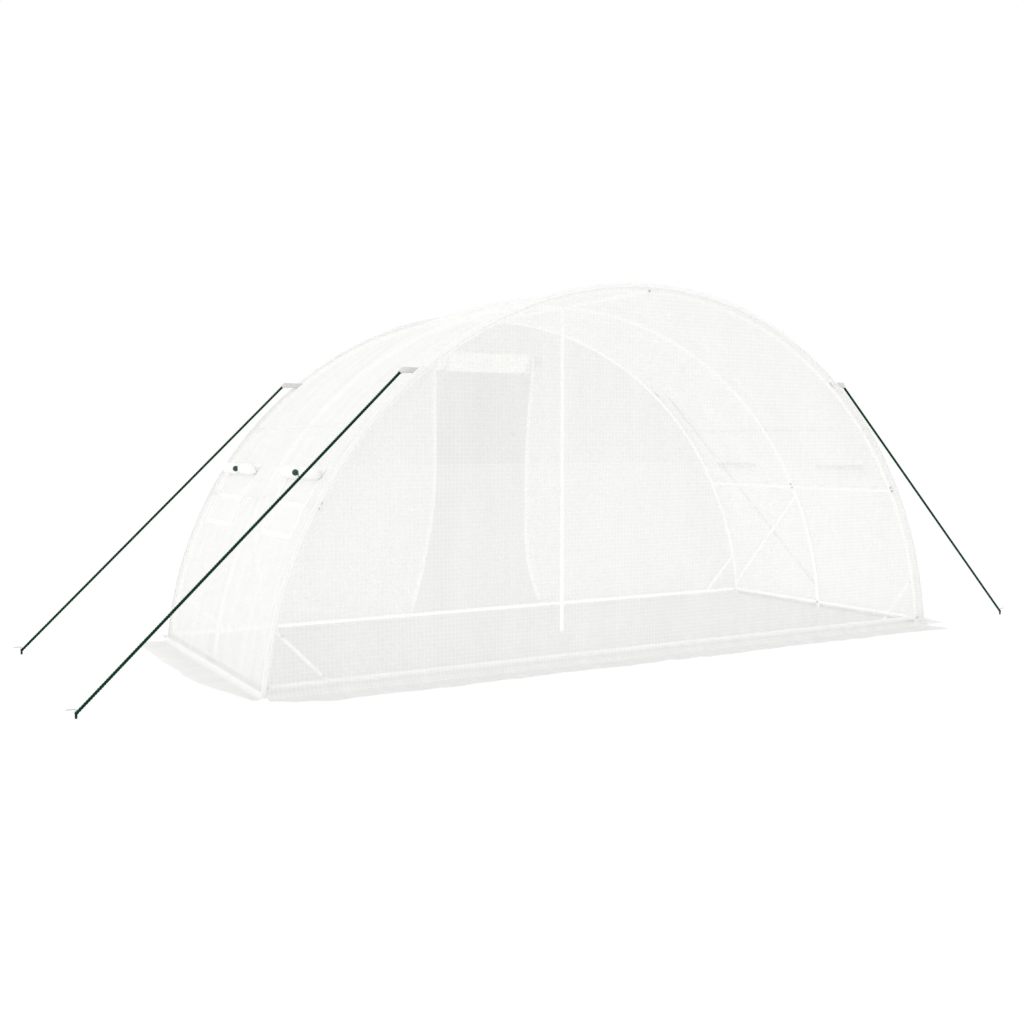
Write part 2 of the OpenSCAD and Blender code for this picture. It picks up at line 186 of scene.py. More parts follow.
class WindowSettings(bpy.types.PropertyGroup):
    """Windows with their hems, rolls and toggles."""

    width: length("Width", "Width of a window along the tunnel", 0.52)
    hem: length("Hem", "Width of the tape around a window", 0.032)
    screen: colour("Screen", "Colour of the insect mesh", (0.95, 0.955, 0.95))
    mesh: length("Mesh", "Pitch of the insect mesh", 0.0022)
    drop: length("Roll drop", "Distance down the film from a window's top to its roll", 0.05)
    roll_d: length("Roll", "Diameter of a rolled-up cover", 0.084)
    waist_d: length("Waist", "Diameter of a roll where it is tied in", 0.032)
    turns: number("Turns", "Turns of a rolled-up cover", 2.2)
    ball_d: length("Ball", "Diameter of a toggle's ball", 0.038)
    ball_turn: number("Ball turn", "Turn of the ball below the outward line", 0.26, subtype="ANGLE")
    cord_d: length("Cord", "Diameter of a toggle's elastic cord", 0.005)
    green: colour("Toggle", "Colour of the toggles", (0.009, 0.048, 0.027))


class DoorSettings(bpy.types.PropertyGroup):
    """Doorway in the back gable, with its roll and ties."""

    head: length("Head", "Height of the opening, behind the middle of the roll", 2.045)
    left: length("Left edge", "Distance of the left edge from the middle", 0.485)
    left_flare: length("Left flare", "Extra width at the left foot", 0.235)
    left_flare_h: length("Left flare height", "Height at which the left flare starts", 1.2)
    right: length("Right edge", "Distance of the right edge from the middle at its waist", 0.336)
    right_flare: length("Right flare", "Extra width at the right foot", 0.17)
    right_flare_h: length("Right flare height", "Height at which the right flare starts", 0.75)
    right_head: length("Right head", "Extra width at the right top corner", 0.06)
    hem: length("Hem", "Width of the hem along the opening", 0.034)
    turns: number("Turns", "Turns of the rolled-up door", 5.6)
    tie_w: length("Tie", "Width of a tie", 0.025)


class GuySettings(bpy.types.PropertyGroup):
    """Guy ropes with their clips and pegs."""

    rope_d: length("Rope", "Diameter of a rope", 0.018)
    lay: length("Lay", "Length of one full twist of the strands", 0.046)
    green: colour("Rope", "Colour of the ropes", (0.0015, 0.038, 0.0155))
    clip: colour("Clip", "Colour of the clips", (0.67, 0.67, 0.68))
    clip_drop: length("Clip drop", "Drop of the clips below the hoop's crown", 0.543)
    clip_reach: length("Clip reach", "Reach of a clip outside the film", 0.12)
    clip_w: length("Clip width", "Width of a clip along the tunnel", 0.036)
    clip_h: length("Clip height", "Height of a clip", 0.034)
    inset: length("Rope inset", "Distance of the rope's end from the outer face of its clip", 0.004)
    socket_wall: length("Socket wall", "Wall around the rope in its socket", 0.004)
    socket: length("Socket", "Depth of the rope's socket", 0.016)
    foot: length("Rope foot", "Height at which a rope meets its peg", 0.026)
    winding_d: length("Winding", "Diameter of the winding on a peg", 0.014)
    winding_h: length("Winding height", "Height of the winding on a peg", 0.038)
    peg_d: length("Peg", "Diameter of a peg's rod", 0.006)
    bend: length("Bend", "Radius of the bend at a peg's top", 0.009)
    peg: colour("Peg", "Plating of the pegs", (0.74, 0.745, 0.75))
    screw: colour("Screw", "Plating of the clips' screws", (0.22, 0.22, 0.23))


class StageSettings(bpy.types.PropertyGroup):
    """Camera, light and floor."""

    camera: FloatVectorProperty(
        name="Camera", description="Place of the camera", default=(-4.40262, -6.90938, 1.34907), unit="LENGTH"
    )
    heading: angle("Heading", "Turn of the camera about the vertical", -30.0169)
    tilt: angle("Tilt", "Turn of the camera below the horizon", 3.4085)
    lens: number("Lens", "Focal length on a 36 mm sensor", 40.619)
    ambient: number("Ambient", "Strength of the world on the object", 1.085)
    beyond: number("Beyond", "Tone of the surroundings behind film", 0.71)
    key: number("Key", "Strength of the soft key light", 0.42)
    key_spread: angle("Key spread", "Angle that the key light fills", 35)
    key_tilt: angle("Key tilt", "Turn of the key light from straight down", 65)
    key_heading: angle("Key heading", "Turn of the key light about the vertical", -70)
    fill: number("Fill", "Power of the dim lamp inside", 9.2)
    floor: share("Floor", "Tone of the floor for the light that it throws back", 0.98)
    floor_shade: share("Floor shade", "Share of the light on the floor that shows", 0.16)
    floor_lift: share("Floor lift", "Own light of the floor where it shows directly", 0.85)
    floor_behind: share("Floor behind", "Own light of the floor behind film", 0.59)


# Node building


class Value:
    """A socket of a node tree; arithmetic on it adds Math nodes."""

    def __init__(self, graph, socket):
        self.graph = graph
        self.socket = socket

    def math(self, operation, *others):
        return self.graph.math(operation, self, *others)

    def __add__(self, other):
        return self.math("ADD", other)

    def __sub__(self, other):
        return self.math("SUBTRACT", other)

    def __mul__(self, other):
        return self.math("MULTIPLY", other)

    def __rsub__(self, other):
        return self.graph.math("SUBTRACT", other, self)

    __radd__ = __add__
    __rmul__ = __mul__

    def max(self, other):
        return self.math("MAXIMUM", other)

    def below(self, other):
        return self.math("LESS_THAN", other)


class Graph:
    """A node tree that is filled by expressions."""

    def __init__(self, tree):
        self.tree = tree
        tree.nodes.clear()

    def node(self, kind, settings=None, sockets=None):
        """Adds a node of a kind, sets its settings first and then fills its sockets."""
        made = self.tree.nodes.new("ShaderNode" + kind)
        for key, value in (settings or {}).items():
            setattr(made, key, value)
        for key, value in (sockets or {}).items():
            value = value.socket if isinstance(value, Value) else value
            if isinstance(value, bpy.types.NodeSocket):
                self.tree.links.new(value, made.inputs[key])
            else:
                made.inputs[key].default_value = value
        return made

    def plain(self, kind, sockets):
        """First output of a node that needs no settings."""
        return self.node(kind, None, sockets).outputs[0]

    def math(self, operation, *values):
        return self.value(self.node("Math", {"operation": operation}, dict(enumerate(values))))

    def value(self, made, output=0):
        return Value(self, made.outputs[output])

    def place(self, output):
        """Texture coordinates of a kind: the vector, and its first two parts."""
        vector = self.node("TexCoord").outputs[output]
        parts = self.node("SeparateXYZ", None, {"Vector": vector})
        return vector, self.value(parts, "X"), self.value(parts, "Y")

    def noise(self, vector, scale, detail=2.0, roughness=0.5):
        sockets = {"Vector": vector, "Scale": scale, "Detail": detail, "Roughness": roughness}
        return self.value(self.node("TexNoise", {"noise_dimensions": "3D"}, sockets))

    def stretch(self, vector, scale):
        return self.plain("Mapping", {"Vector": vector, "Scale": scale})

    def thread(self, along, pitch, width):
        """1 on lines a pitch apart and 0 between them, with soft sides."""
        off = along.math("PINGPONG", pitch / 2)
        sockets = {"Value": off, "From Min": 0.25 * width, "From Max": 0.75 * width, "To Min": 1.0, "To Max": 0.0}
        return self.value(self.node("MapRange", {"interpolation_type": "SMOOTHSTEP"}, sockets))

    def weave(self, u, v, pitch, width):
        """1 on the lines of two crossing families of threads."""
        return self.thread(u, pitch, width).max(self.thread(v, pitch, width))

    def blend(self, factor, first, second):
        """Colour between two colours."""
        sockets = {0: factor, 6: (*first, 1.0), 7: (*second, 1.0)}
        return self.node("Mix", {"data_type": "RGBA"}, sockets).outputs[2]

    def bump(self, height, distance, strength=1.0):
        return self.plain("Bump", {"Height": height, "Distance": distance, "Strength": strength})

    def shader_mix(self, factor, first, second):
        return self.plain("MixShader", {0: factor, 1: first, 2: second})


class Finish(Graph):
    """A procedural material."""

    def __init__(self, name):
        self.material = bpy.data.materials.new(name)
        self.material.use_nodes = True
        super().__init__(self.material.node_tree)

    def done(self, shader):
        self.node("OutputMaterial", None, {"Surface": shader})
        return self.material

    def solid(self, sockets):
        """An opaque surface."""
        return self.done(self.plain("BsdfPrincipled", sockets))

    def cloth(self, stopped, through, skin, glow):
        """Clear where nothing stops the light, elsewhere a skin that reflects mixed with a glow from behind."""
        skin = self.plain("BsdfPrincipled", skin)
        glow = self.plain("BsdfTranslucent", glow)
        clear = self.plain("BsdfTransparent", {"Color": WHITE})
        return self.done(self.shader_mix(stopped, clear, self.shader_mix(through, skin, glow)))


def shade(tone, factor):
    """A colour made darker by a factor."""
    return tuple(channel * factor for channel in tone)


def film_finish(name, cover, thicker=0.0, through=0.55, mark=1.0, skirt=None, laid=0.0, tone=None):
    """Woven film: two families of reinforcing threads and fine yarns stop part of the light, the rest passes.

    The mix of clear and film follows max(line(u), line(v)) over the threads, plus sin(u) sin(v) of the yarns, slow
    mottling, and soft bands of painted shade, which stand in for the shade of folds by letting the film stop more or
    less light. The film itself reflects a part and lets the rest glow through. It stops more light where it is
    thicker, and shows its threads by their mark. Where skirt is 1 it lies on the ground, which leaves little glow
    and adds laid to what it stops.
    """
    look = Finish(name)
    tone = tuple(cover.film if tone is None else tone)
    flat, u, v = look.place("UV")
    grid = look.weave(u, v, cover.pitch, cover.thread)
    turn = TAU / cover.yarn
    yarns = (u * turn).math("SINE") * (v * turn).math("SINE")
    mottle = look.noise(flat, 2.3, 3.0) - 0.5
    clouds = look.noise(flat, 14.0, 2.0) - 0.5
    # Soft bands of painted shade: they stand in for the shade of folds by changing how much light the film stops
    fold_shade_bands = look.noise(look.stretch(flat, (4.6, 0.7, 1.0)), 1.0, 2.0) - 0.5
    stopped = grid * (mark * (cover.on_thread - cover.between)) + (cover.between + thicker)
    stopped = stopped + yarns * 0.04 + mottle * 0.08 + clouds * 0.04 + fold_shade_bands * 0.4
    creases = look.noise(look.stretch(flat, (3.0, 9.0, 1.0)), 3.2, 4.0, 0.55)
    normal = look.bump(creases * 0.8 + grid * 0.12 + yarns * 0.05, 0.004, 0.55)
    if skirt:
        through = through - skirt(v) * (through - 0.1)
        stopped = stopped + skirt(v) * laid
    skin = {
        "Base Color": look.blend(mottle + 0.5, shade(tone, 0.985), tone),
        "Roughness": 0.42 - grid * 0.06,
        "Normal": normal,
        "Specular IOR Level": 0.35,
    }
    return look.cloth(stopped, through, skin, {"Color": (*shade(tone, 0.992), 1), "Normal": normal})


def tape_finish(name, cover, through=0.04, dense=0.95):
    """Folded tape: denser film with two rows of stitches along it, u across and v along in metres."""
    look = Finish(name)
    flat, across, along = look.place("UV")
    stitch = look.thread(across, 0.012, 0.0022) * (1.0 - look.thread(along, 0.0055, 0.0016))
    turn = 2100.0  # radians a metre
    yarns = (across * turn).math("SINE") * (along * turn).math("SINE")
    creases = look.noise(look.stretch(flat, (2.0, 8.0, 1.0)), 6.0, 3.0)
    normal = look.bump(creases * 0.5 + stitch * 0.35 + yarns * 0.08, 0.002, 0.6)
    skin = {
        "Base Color": look.blend(stitch, cover.tape, shade(cover.tape, 0.93)),
        "Roughness": 0.5 + creases * 0.1,
        "Normal": normal,
    }
    return look.cloth(dense + stitch * 0.05, through, skin, {"Color": (*cover.tape, 1), "Normal": normal})


def roll_finish(name, cover):
    """Many layers of film, which let little light pass."""
    return film_finish(name, cover, thicker=0.6, through=0.05, tone=cover.rolled)


def seam_finish(name, cover):
    """Tape of the long seams, which glows a little with what comes through."""
    return tape_finish(name, cover, through=0.28, dense=0.9)


def screen_finish(name, window):
    """Insect mesh: fine threads both ways, with open holes between them."""
    look = Finish(name)
    flat, u, v = look.place("UV")
    threads = look.weave(u, v, window.mesh, window.mesh * 0.5)
    mottle = look.noise(flat, 9.0, 2.0)
    skin = {
        "Base Color": look.blend(mottle, shade(window.screen, 0.95), window.screen),
        "Roughness": 0.55,
        "Normal": look.bump(threads + mottle * 0.6, 0.0006, 0.5),
    }
    return look.cloth(0.45 + threads * 0.45, 0.55, skin, {"Color": (*shade(window.screen, 0.975), 1)})


def paint_finish(name, tone):
    """Satin powder coat: fine orange peel, slow change of gloss, a few rubbed specks."""
    look = Finish(name)
    place = look.node("TexCoord").outputs["Object"]
    fine = look.noise(place, 65.0, 4.0, 0.7)
    specks = look.value(look.node("MapRange", None, {"Value": fine, "From Min": 0.70, "From Max": 0.80}))
    return look.solid(
        {
            "Base Color": look.blend(specks * 0.5, tone, shade(tone, 0.86)),
            "Roughness": 0.30 + look.noise(place, 7.0, 3.0) * 0.16,
            "Normal": look.bump(look.noise(place, 420.0, 2.0), 0.0006, 0.35),
        }
    )


def metal_finish(name, tone, rough):
    """Plated steel: drawn lines, blotches of duller plating."""
    look = Finish(name)
    place = look.node("TexCoord").outputs["Object"]
    drawn = look.noise(look.stretch(place, (900.0, 900.0, 40.0)), 1.0, 2.0)
    blotch = look.noise(place, 90.0, 3.0)
    return look.solid(
        {
            "Base Color": look.blend(blotch, shade(tone, 0.8), tone),
            "Metallic": 1.0,
            "Roughness": rough + blotch * 0.18,
            "Normal": look.bump(drawn, 0.0003, 0.5),
        }
    )


def plastic_finish(name, tone, rough, grain):
    """Moulded plastic: fine grain, slow change of gloss and of tone."""
    look = Finish(name)
    place = look.node("TexCoord").outputs["Object"]
    slow = look.noise(place, 30.0, 3.0)
    return look.solid(
        {
            "Base Color": look.blend(slow, shade(tone, 0.88), tone),
            "Roughness": rough + slow * 0.12,
            "Normal": look.bump(look.noise(place, grain, 2.0), 0.0003, 0.4),
        }
    )


def rope_finish(name, tone):
    """Twisted fibres: fine lines run with the strands, u around and v along in metres."""
    look = Finish(name)
    flat = look.node("TexCoord").outputs["UV"]
    fibres = look.noise(look.stretch(flat, (900.0, 60.0, 1.0)), 1.0, 3.0)
    return look.solid(
        {
            "Base Color": look.blend(fibres, shade(tone, 0.55), shade(tone, 1.35)),
            "Roughness": 0.78 + look.noise(flat, 260.0, 2.0) * 0.12,
            "Normal": look.bump(fibres, 0.0008, 0.7),
            "Specular IOR Level": 0.1,
        }
    )


# Surfaces

# Rows of a skirt's turn from wall to ground, and of its flat run
TURN_ROWS = FLAT_ROWS = 12
# The film looks like skirt from this far past its flare
SKIRT_PAST = 0.06
# Edges that turn by more than this are drawn sharp
SHARP = math.radians(50)
# Seed of the back gable's folds, which the tapes around the doorway follow
BACK_FOLDS = 47
# Distance of the window rolls from the film, and the farthest that they reach out from it
ROLL_LIFT, ROLL_REACH = 0.0035, 0.0885
# Seams of the back gable above the door, from the middle
SEAM_PLACES = (-0.487, 0.497)
# Gap that keeps neighbouring surfaces apart
CLEAR = 0.0006


def stand(name, data):
    """Adds an object to the scene."""
    made = bpy.data.objects.new(name, data)
    bpy.context.scene.collection.objects.link(made)
    return made


class Piece:
    """Grids of points gathered into one mesh object."""

    def __init__(self, name):
        self.name = name
        self.points, self.loops, self.maps, self.counts = [], [], [], []
        self.size = 0

    def grid(self, points, maps, keep=None, ring=False, loop=False, flip=False, solid=False):
        """Quads between neighbours of a grid (rows, columns, 3).

        maps has the same rows and columns, plus one where the grid closes: ring joins the last column to the first,
        loop the last row to the first. keep marks the quads that stay. A solid gets flat ends where it is open and
        is turned so that its volume is positive.
        """
        rows, columns = points.shape[:2]
        i, j = np.meshgrid(np.arange(rows - (not loop)), np.arange(columns - (not ring)), indexing="ij")
        i, j = (i.ravel(), j.ravel()) if keep is None else (i[keep], j[keep])
        down = np.stack([i, i + 1, i + 1, i], 1)
        over = np.stack([j, j, j + 1, j + 1], 1)
        quads = (down % rows) * columns + over % columns
        flat = points.reshape(-1, 3)
        ends = []
        if solid and not loop:
            ends = [np.arange(columns)[None, ::-1], (rows - 1) * columns + np.arange(columns)[None]]
        if solid:
            a, b, c, d = (flat[quads[:, k]] for k in range(4))
            volume = np.einsum("ij,ij->i", a, np.cross(b, c) + np.cross(c, d)).sum()
            for end in ends:
                tip = flat[end[0]]
                volume += np.einsum("ij,ij->i", tip[:1].repeat(columns - 1, 0), np.cross(tip[:-1], tip[1:])).sum()
            flip = volume < 0
        step = -1 if flip else 1
        used, small = np.unique(quads, return_inverse=True)
        end_maps = maps[:1, :1].repeat(columns, 1)
        for faces, face_maps in ((small.reshape(-1, 4), maps[down, over]), *((end, end_maps) for end in ends)):
            self.loops.append(faces[:, ::step].ravel() + self.size)
            self.maps.append(face_maps[:, ::step].reshape(-1, 2))
            self.counts.append(np.full(len(faces), faces.shape[1]))
        self.points.append(flat[used])
        self.size += len(used)

    def solid(self, points, loop=False):
        """A closed section carried along a path, which may close on itself, mapped in metres."""
        self.grid(points, metres(points, True, loop), ring=True, loop=loop, solid=True)

    def make(self, finish, slot, *nodes):
        """Makes the object, rides it on the frame, and lets it stand for its nodes."""
        mesh = bpy.data.meshes.new(self.name)
        points, loops, counts = (np.concatenate(parts) for parts in (self.points, self.loops, self.counts))
        mesh.vertices.add(len(points))
        mesh.vertices.foreach_set("co", points.astype(np.float32).ravel())
        mesh.loops.add(len(loops))
        mesh.loops.foreach_set("vertex_index", loops.astype(np.int32))
        mesh.polygons.add(len(counts))
        mesh.polygons.foreach_set("loop_start", (np.cumsum(counts) - counts).astype(np.int32))
        mesh.polygons.foreach_set("use_smooth", np.ones(len(counts), bool))
        layer = mesh.uv_layers.new(name="UVMap")
        layer.data.foreach_set("uv", np.concatenate(self.maps).astype(np.float32).ravel())
        mesh.update(calc_edges=True)
        if mesh.validate():
            raise RuntimeError(f"{self.name}: the mesh had faults")
        mesh.set_sharp_from_angle(angle=SHARP)
        mesh.materials.append(finish)
        made = stand(self.name, mesh)
        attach(made, BODY)
        if nodes:
            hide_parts(*nodes)
        return made


def join(*parts):
    """Points whose coordinates are the given parts, spread over each other."""
    return np.stack(np.broadcast_arrays(*parts), -1)


def summed(values):
    """Running sum that starts at 0."""
    return np.concatenate([[0], np.cumsum(values)])


def gaps(path):
    """Distances between neighbours along the first axis of an array of points."""
    return np.linalg.norm(np.diff(path, axis=0), axis=-1)


def metres(points, ring=False, loop=False):
    """Map of a grid in metres: mean distance summed along its columns, and along its rows."""
    over = np.concatenate([points, points[:, :1]], 1) if ring else points
    over = np.concatenate([over, over[:1]], 0) if loop else over
    u = summed(gaps(over.swapaxes(0, 1)).mean(1))
    v = summed(gaps(over).mean(1))
    return join(u[None, :], v[:, None])


def steps(*stops_and_counts):
    """Rising values through stops, given as stop, count, stop, count, stop."""
    stops, counts = stops_and_counts[::2], stops_and_counts[1::2]
    parts = [np.linspace(a, b, n, endpoint=False) for a, b, n in zip(stops, stops[1:], counts)]
    return np.concatenate([*parts, stops[-1:]])


def waves(u, v, seed, shortest, longest, count=7):
    """Sum of plane sine waves with seeded directions, lengths and phases, about 1 high."""
    draw = np.random.default_rng(seed)
    heading = draw.uniform(0, TAU, count)
    pitch = np.exp(draw.uniform(math.log(shortest), math.log(longest), count))
    phase = draw.uniform(0, TAU, count)
    total = 0.0
    for a, p, f in zip(heading, pitch, phase):
        total = total + np.sin(TAU * (u * math.cos(a) + v * math.sin(a)) / p + f)
    return total / math.sqrt(2 * count)


def ease(x):
    """Smooth step from 0 to 1."""
    x = np.clip(x, 0, 1)
    return x * x * (3 - 2 * x)


def bell(x, width):
    """Bell curve: e to the power of minus the square of x over the width."""
    return np.exp(-((x / width) ** 2))


def unit(vectors):
    """Vectors made 1 long."""
    return vectors / np.linalg.norm(vectors, axis=-1, keepdims=True)


def carry(path, profile, side):
    """Profile (points, 2) carried along a path: its first axis lies along side made square to the path."""
    ahead = unit(np.gradient(path, axis=0))
    across = unit(side - (ahead * side).sum(-1, keepdims=True) * ahead)
    over = np.cross(ahead, across)
    return path[:, None] + profile[..., :1] * across[:, None] + profile[..., 1:] * over[:, None]


def turns_of(count):
    """Angles of even steps once round."""
    return np.arange(count) * TAU / count


def disc(radius, count):
    """Circle of points."""
    turn = turns_of(count)
    return radius * join(np.cos(turn), np.sin(turn))


def turned(profile, count):
    """Profile of radius and height turned about the third axis."""
    radius, height = profile[:, :1], profile[:, 1:]
    turn = turns_of(count)
    return join(radius * np.cos(turn), radius * np.sin(turn), height)


def rounded(width, height, count, power=0.45):
    """Superellipse: cosine and sine raised to a small power, keeping their signs."""
    circle = disc(1.0, count)
    return 0.5 * np.array([width, height]) * np.sign(circle) * np.abs(circle) ** power


def arc_x(z):
    """Half width of a gable at height z."""
    return np.sqrt(np.maximum(FILM_R**2 - (z - FILM_Z) ** 2, 0))


def sag_at(s, y, depth):
    """Sag of the film: squared sine between hoops times squared sine between ridge, purlin and rail."""
    bay = np.interp(np.abs(s) / FILM_R, [0, PURLIN_A, RAIL_A], [0, 1, 2])
    rows = np.where(np.abs(y) < BAY, np.sin(math.pi * y / BAY) ** 2, 0)
    return depth * np.sin(math.pi * bay) ** 2 * rows


def billow_at(s, y, height):
    """Lift of the roof over the middle hoop: a flat-topped bell left of the crown that eases out at the gables."""
    middle, width = -0.5, 1.35
    return height * np.exp(-(((s - middle) / width) ** 4)) * ease(1 - np.abs(y) / GABLE_Y)


def on_film(s, y, lift, depth):
    """Point on the film at arc length s from the crown and at y, lifted outwards."""
    a = s / FILM_R
    r = SHEET_R + lift - sag_at(s, y, depth)
    return join(r * np.sin(a), y, FILM_Z + r * np.cos(a))


def foot_run(cover, width):
    """Run of the film from skirt edge to wall: offset outwards, height, and how freely it lies on the ground.

    A straight run lies on the ground, then a cubic curve turns up into the wall.
    """
    t = np.linspace(0, 1, TURN_ROWS + 1)[1:, None]
    low, high = cover.lie, cover.flare
    reach = 0.55 * cover.flare
    p = np.array([[reach, low], [0.35 * reach, low], [0.02 * reach, 0.35 * high], [0, high]])
    turn = (1 - t) ** 3 * p[0] + 3 * (1 - t) ** 2 * t * p[1] + 3 * (1 - t) * t**2 * p[2] + t**3 * p[3]
    out = np.linspace(1, 0, FLAT_ROWS + 1)[:, None]
    offset = np.concatenate([reach + (width - reach) * out, np.broadcast_to(turn[:, :1], (TURN_ROWS, len(width)))])
    height = np.concatenate([0 * out + low, turn[:, 1:]])
    return offset, height, np.concatenate([ease(out * 1.4), 0 * t])


def skirt_lift(x, y, on_ground, cover, seed):
    """Waves of a skirt on the ground, never under it."""
    wave = 0.5 + 0.5 * waves(x, y, seed, 0.12, 0.7)
    fine = 0.5 + 0.5 * waves(x, y, seed + 1, 0.04, 0.14)
    return on_ground * cover.wave * (np.clip(wave, 0, 1.3) ** 2 + 0.25 * np.clip(fine, 0, 1.3))


def run_to_end(path):
    """Distance along a path from each of its points to its last one."""
    return summed(gaps(path)[::-1])[::-1]


# Operators


class DressFrame(bpy.types.Operator):
    """Paints the tubes and sets a domed bolt at every joint"""

    bl_idname = "polytunnel.frame"
    bl_label = "Frame and bolts"

    def execute(self, context):
        look = context.scene.tunnel_frame
        paint = paint_finish("frame_paint", tuple(look.paint))
        for name in FRAME_NODES:
            mesh = bpy.data.objects[name].data
            mesh.materials.clear()
            mesh.materials.append(paint)
        self.bolts(look)
        return {"FINISHED"}

    def bolts(self, look):
        """A dome on a washer, turned about its axis, at each place."""
        r = look.bolt_d / 2
        profile = np.array([[1.35, -0.5], [1.35, 0.18], [1.0, 0.2], [0.95, 0.5], [0.62, 0.82], [0.12, 0.95]]) * r
        dome = turned(profile, 12)
        aside = (0.31, 0.11, 0.94)  # a direction that no bolt points in
        dark, pale = Piece("frame_bolts"), Piece("brace_bolts")
        for piece, places in ((dark, self.hoop_places()), (pale, self.brace_places())):
            for place, out in places:
                side = unit(np.cross(out, aside))
                piece.solid(place + dome @ np.array([side, np.cross(out, side), out]))
        dark.make(metal_finish("bolt_plating", tuple(look.bolt), rough=0.32), "peg_steel")
        pale.make(metal_finish("brace_bolt_plating", tuple(look.brace_bolt), rough=0.4), "peg_steel")

    def hoop_places(self):
        """Joint points on the hoops: end hoops carry their bolts on the gable side, the middle one inside.

        A second bolt sits a little above each joint at a purlin.
        """
        rows = []
        for end in (-1, 0, 1):
            for a in (-RAIL_A, -PURLIN_A, 0.0, PURLIN_A, RAIL_A):
                out = end * ALONG if end else -np.array([math.sin(a), 0, math.cos(a)])
                above = a - math.copysign(0.03 / HOOP_R, a)
                for b in (a, above) if abs(a) == PURLIN_A else (a,):
                    axis = np.array([HOOP_R * math.sin(b), end * BAY, FILM_Z + HOOP_R * math.cos(b)])
                    rows.append((axis + TUBE_R * out, out))
        return rows

    def brace_places(self):
        """Ends of the corner braces, on the gable side."""
        rows, inset = [], 0.03
        for name, end in ENDS:
            low, high = span_of(f"{name}_corner_braces")
            reach = high[2] - low[2] - 2 * inset
            out = end * ALONG
            for side in (-1, 1):
                top = np.array([side * (high[0] - inset), (low[1] + high[1]) / 2, high[2] - inset])
                foot = top - [side * reach, 0, reach]
                rows += [(place + (high[1] - low[1]) / 2 * out, out) for place in (top, foot)]
        return rows


def window_mid(window):
    """Distance of a window's middle from the middle of the tunnel."""
    return SCREEN_HIGH[1] - window.width / 2 + SCREEN_PLAY


class DressCover(bpy.types.Operator):
    """Lays one film over the hoops, from the edge of the left skirt to the edge of the right one"""

    bl_idname = "polytunnel.cover"
    bl_label = "Roof and sides"

    def execute(self, context):
        cover = context.scene.tunnel_cover
        window = context.scene.tunnel_window
        mid = window_mid(window)
        near, far = mid - window.width / 2, mid + window.width / 2
        y = steps(-SHEET_Y, 9, -far, 22, -near, 26, near, 22, far, 9, SHEET_Y)
        start = FILM_R * angle_at(cover.flare)
        s = steps(-start, 36, -WINDOW_FOOT_S, 18, -WINDOW_TOP_S, 100, WINDOW_TOP_S, 18, WINDOW_FOOT_S, 36, start)
        grid_s, grid_y = s[:, None], y[None, :]
        lift = waves(grid_s, grid_y, 3, 0.25, 1.1) * 0.0012 + billow_at(grid_s, grid_y, cover.billow)
        left, left_run = self.skirt(cover, y, -1, 11)
        right, right_run = self.skirt(cover, y, 1, 17)
        points = np.concatenate([left[:-1], on_film(grid_s, grid_y, lift, cover.sag), right[::-1][1:]])
        along = np.concatenate([s[0] - left_run[:-1], s, s[-1] + right_run[::-1][1:]])
        centre_s, centre_y = (np.abs(stops[:-1] + stops[1:]) / 2 for stops in (along, y))
        open_s = (centre_s > WINDOW_TOP_S) & (centre_s < WINDOW_FOOT_S)
        open_y = (centre_y > near) & (centre_y < far)
        piece = Piece("cover_sheet")
        piece.grid(points, join(y[None, :], along[:, None]), keep=~(open_s[:, None] & open_y))
        film = film_finish(
            "cover_film",
            cover,
            thicker=0.28,
            through=0.5,
            mark=0.4,
            skirt=lambda v: v.math("ABSOLUTE").math("GREATER_THAN", start + SKIRT_PAST),
            laid=0.2,
        )
        nodes = [f"{side}_{part}" for side, _ in SIDES for part in ("side_film", "roof_film", "skirt")]
        made = piece.make(film, "cover_film", *nodes)
        seams = self.panel_seams(cover)
        flat = (float(along[-1] - along[0]), float(2 * SHEET_Y))
        cut = flat[0] * flat[1] - 4 * window.width * (WINDOW_FOOT_S - WINDOW_TOP_S)
        return {"FINISHED"}

    def skirt(self, cover, y, side, seed):
        """Skirt of a side, narrower towards the front corner on the left."""
        if side < 0:
            width = np.interp(y, [-1.06, -0.9, -0.71, -0.48, -0.2], [0.07, 0.106, 0.155, 0.205, 0.22])
        else:
            width = 0.225
        width = np.minimum(width + 0.006 * waves(y, 0, seed, 0.15, 0.8), SKIRT_X - FOOT)
        offset, height, on_ground = foot_run(cover, width)
        x = side * (arc_x(height) - INSET + offset)
        points = join(x, y, height + skirt_lift(x, y, on_ground, cover, seed))
        return points, run_to_end(points[:, len(y) // 2])

    def panel_seams(self, cover):
        """Flat felled seams where the side panels meet the roof panels."""
        y = np.linspace(-SHEET_Y, SHEET_Y, 90)[:, None]
        wide, thick = rounded(0.022, 0.0016, 12).T
        piece = Piece("panel_seams")
        for s in (wide - PANEL_S, wide + PANEL_S):
            piece.solid(on_film(s, y, thick + 0.0008 + billow_at(s, y, cover.billow), cover.sag))
        return piece.make(seam_finish("panel_seam_tape", cover), "seam_tape")


def gable_folds(x, z, cover, seed):
    """Soft folds of a gable: bell-shaped ridges that run down and fade towards the ground, over slow waves.

    They ease out towards the arch and the flare.
    """
    high = ease((z - 0.5) / 1.2) * ease((CROWN - z) / 0.5)
    draw = np.random.default_rng(seed)
    total = 0.35 * waves(x, z, seed, 0.7, 2.2)
    for place, lean, broad in zip(
        draw.uniform(-1.5, 1.5, 9), draw.uniform(-0.16, 0.16, 9), draw.uniform(0.05, 0.12, 9)
    ):
        total = total + high * bell(x - place - lean * (z - 1.2), broad)
    rim = ease((arc_x(z) - np.abs(x)) / 0.22) * ease((z - cover.flare) / 0.25)
    return np.clip(cover.fold * total * rim, -0.03, 0.016)


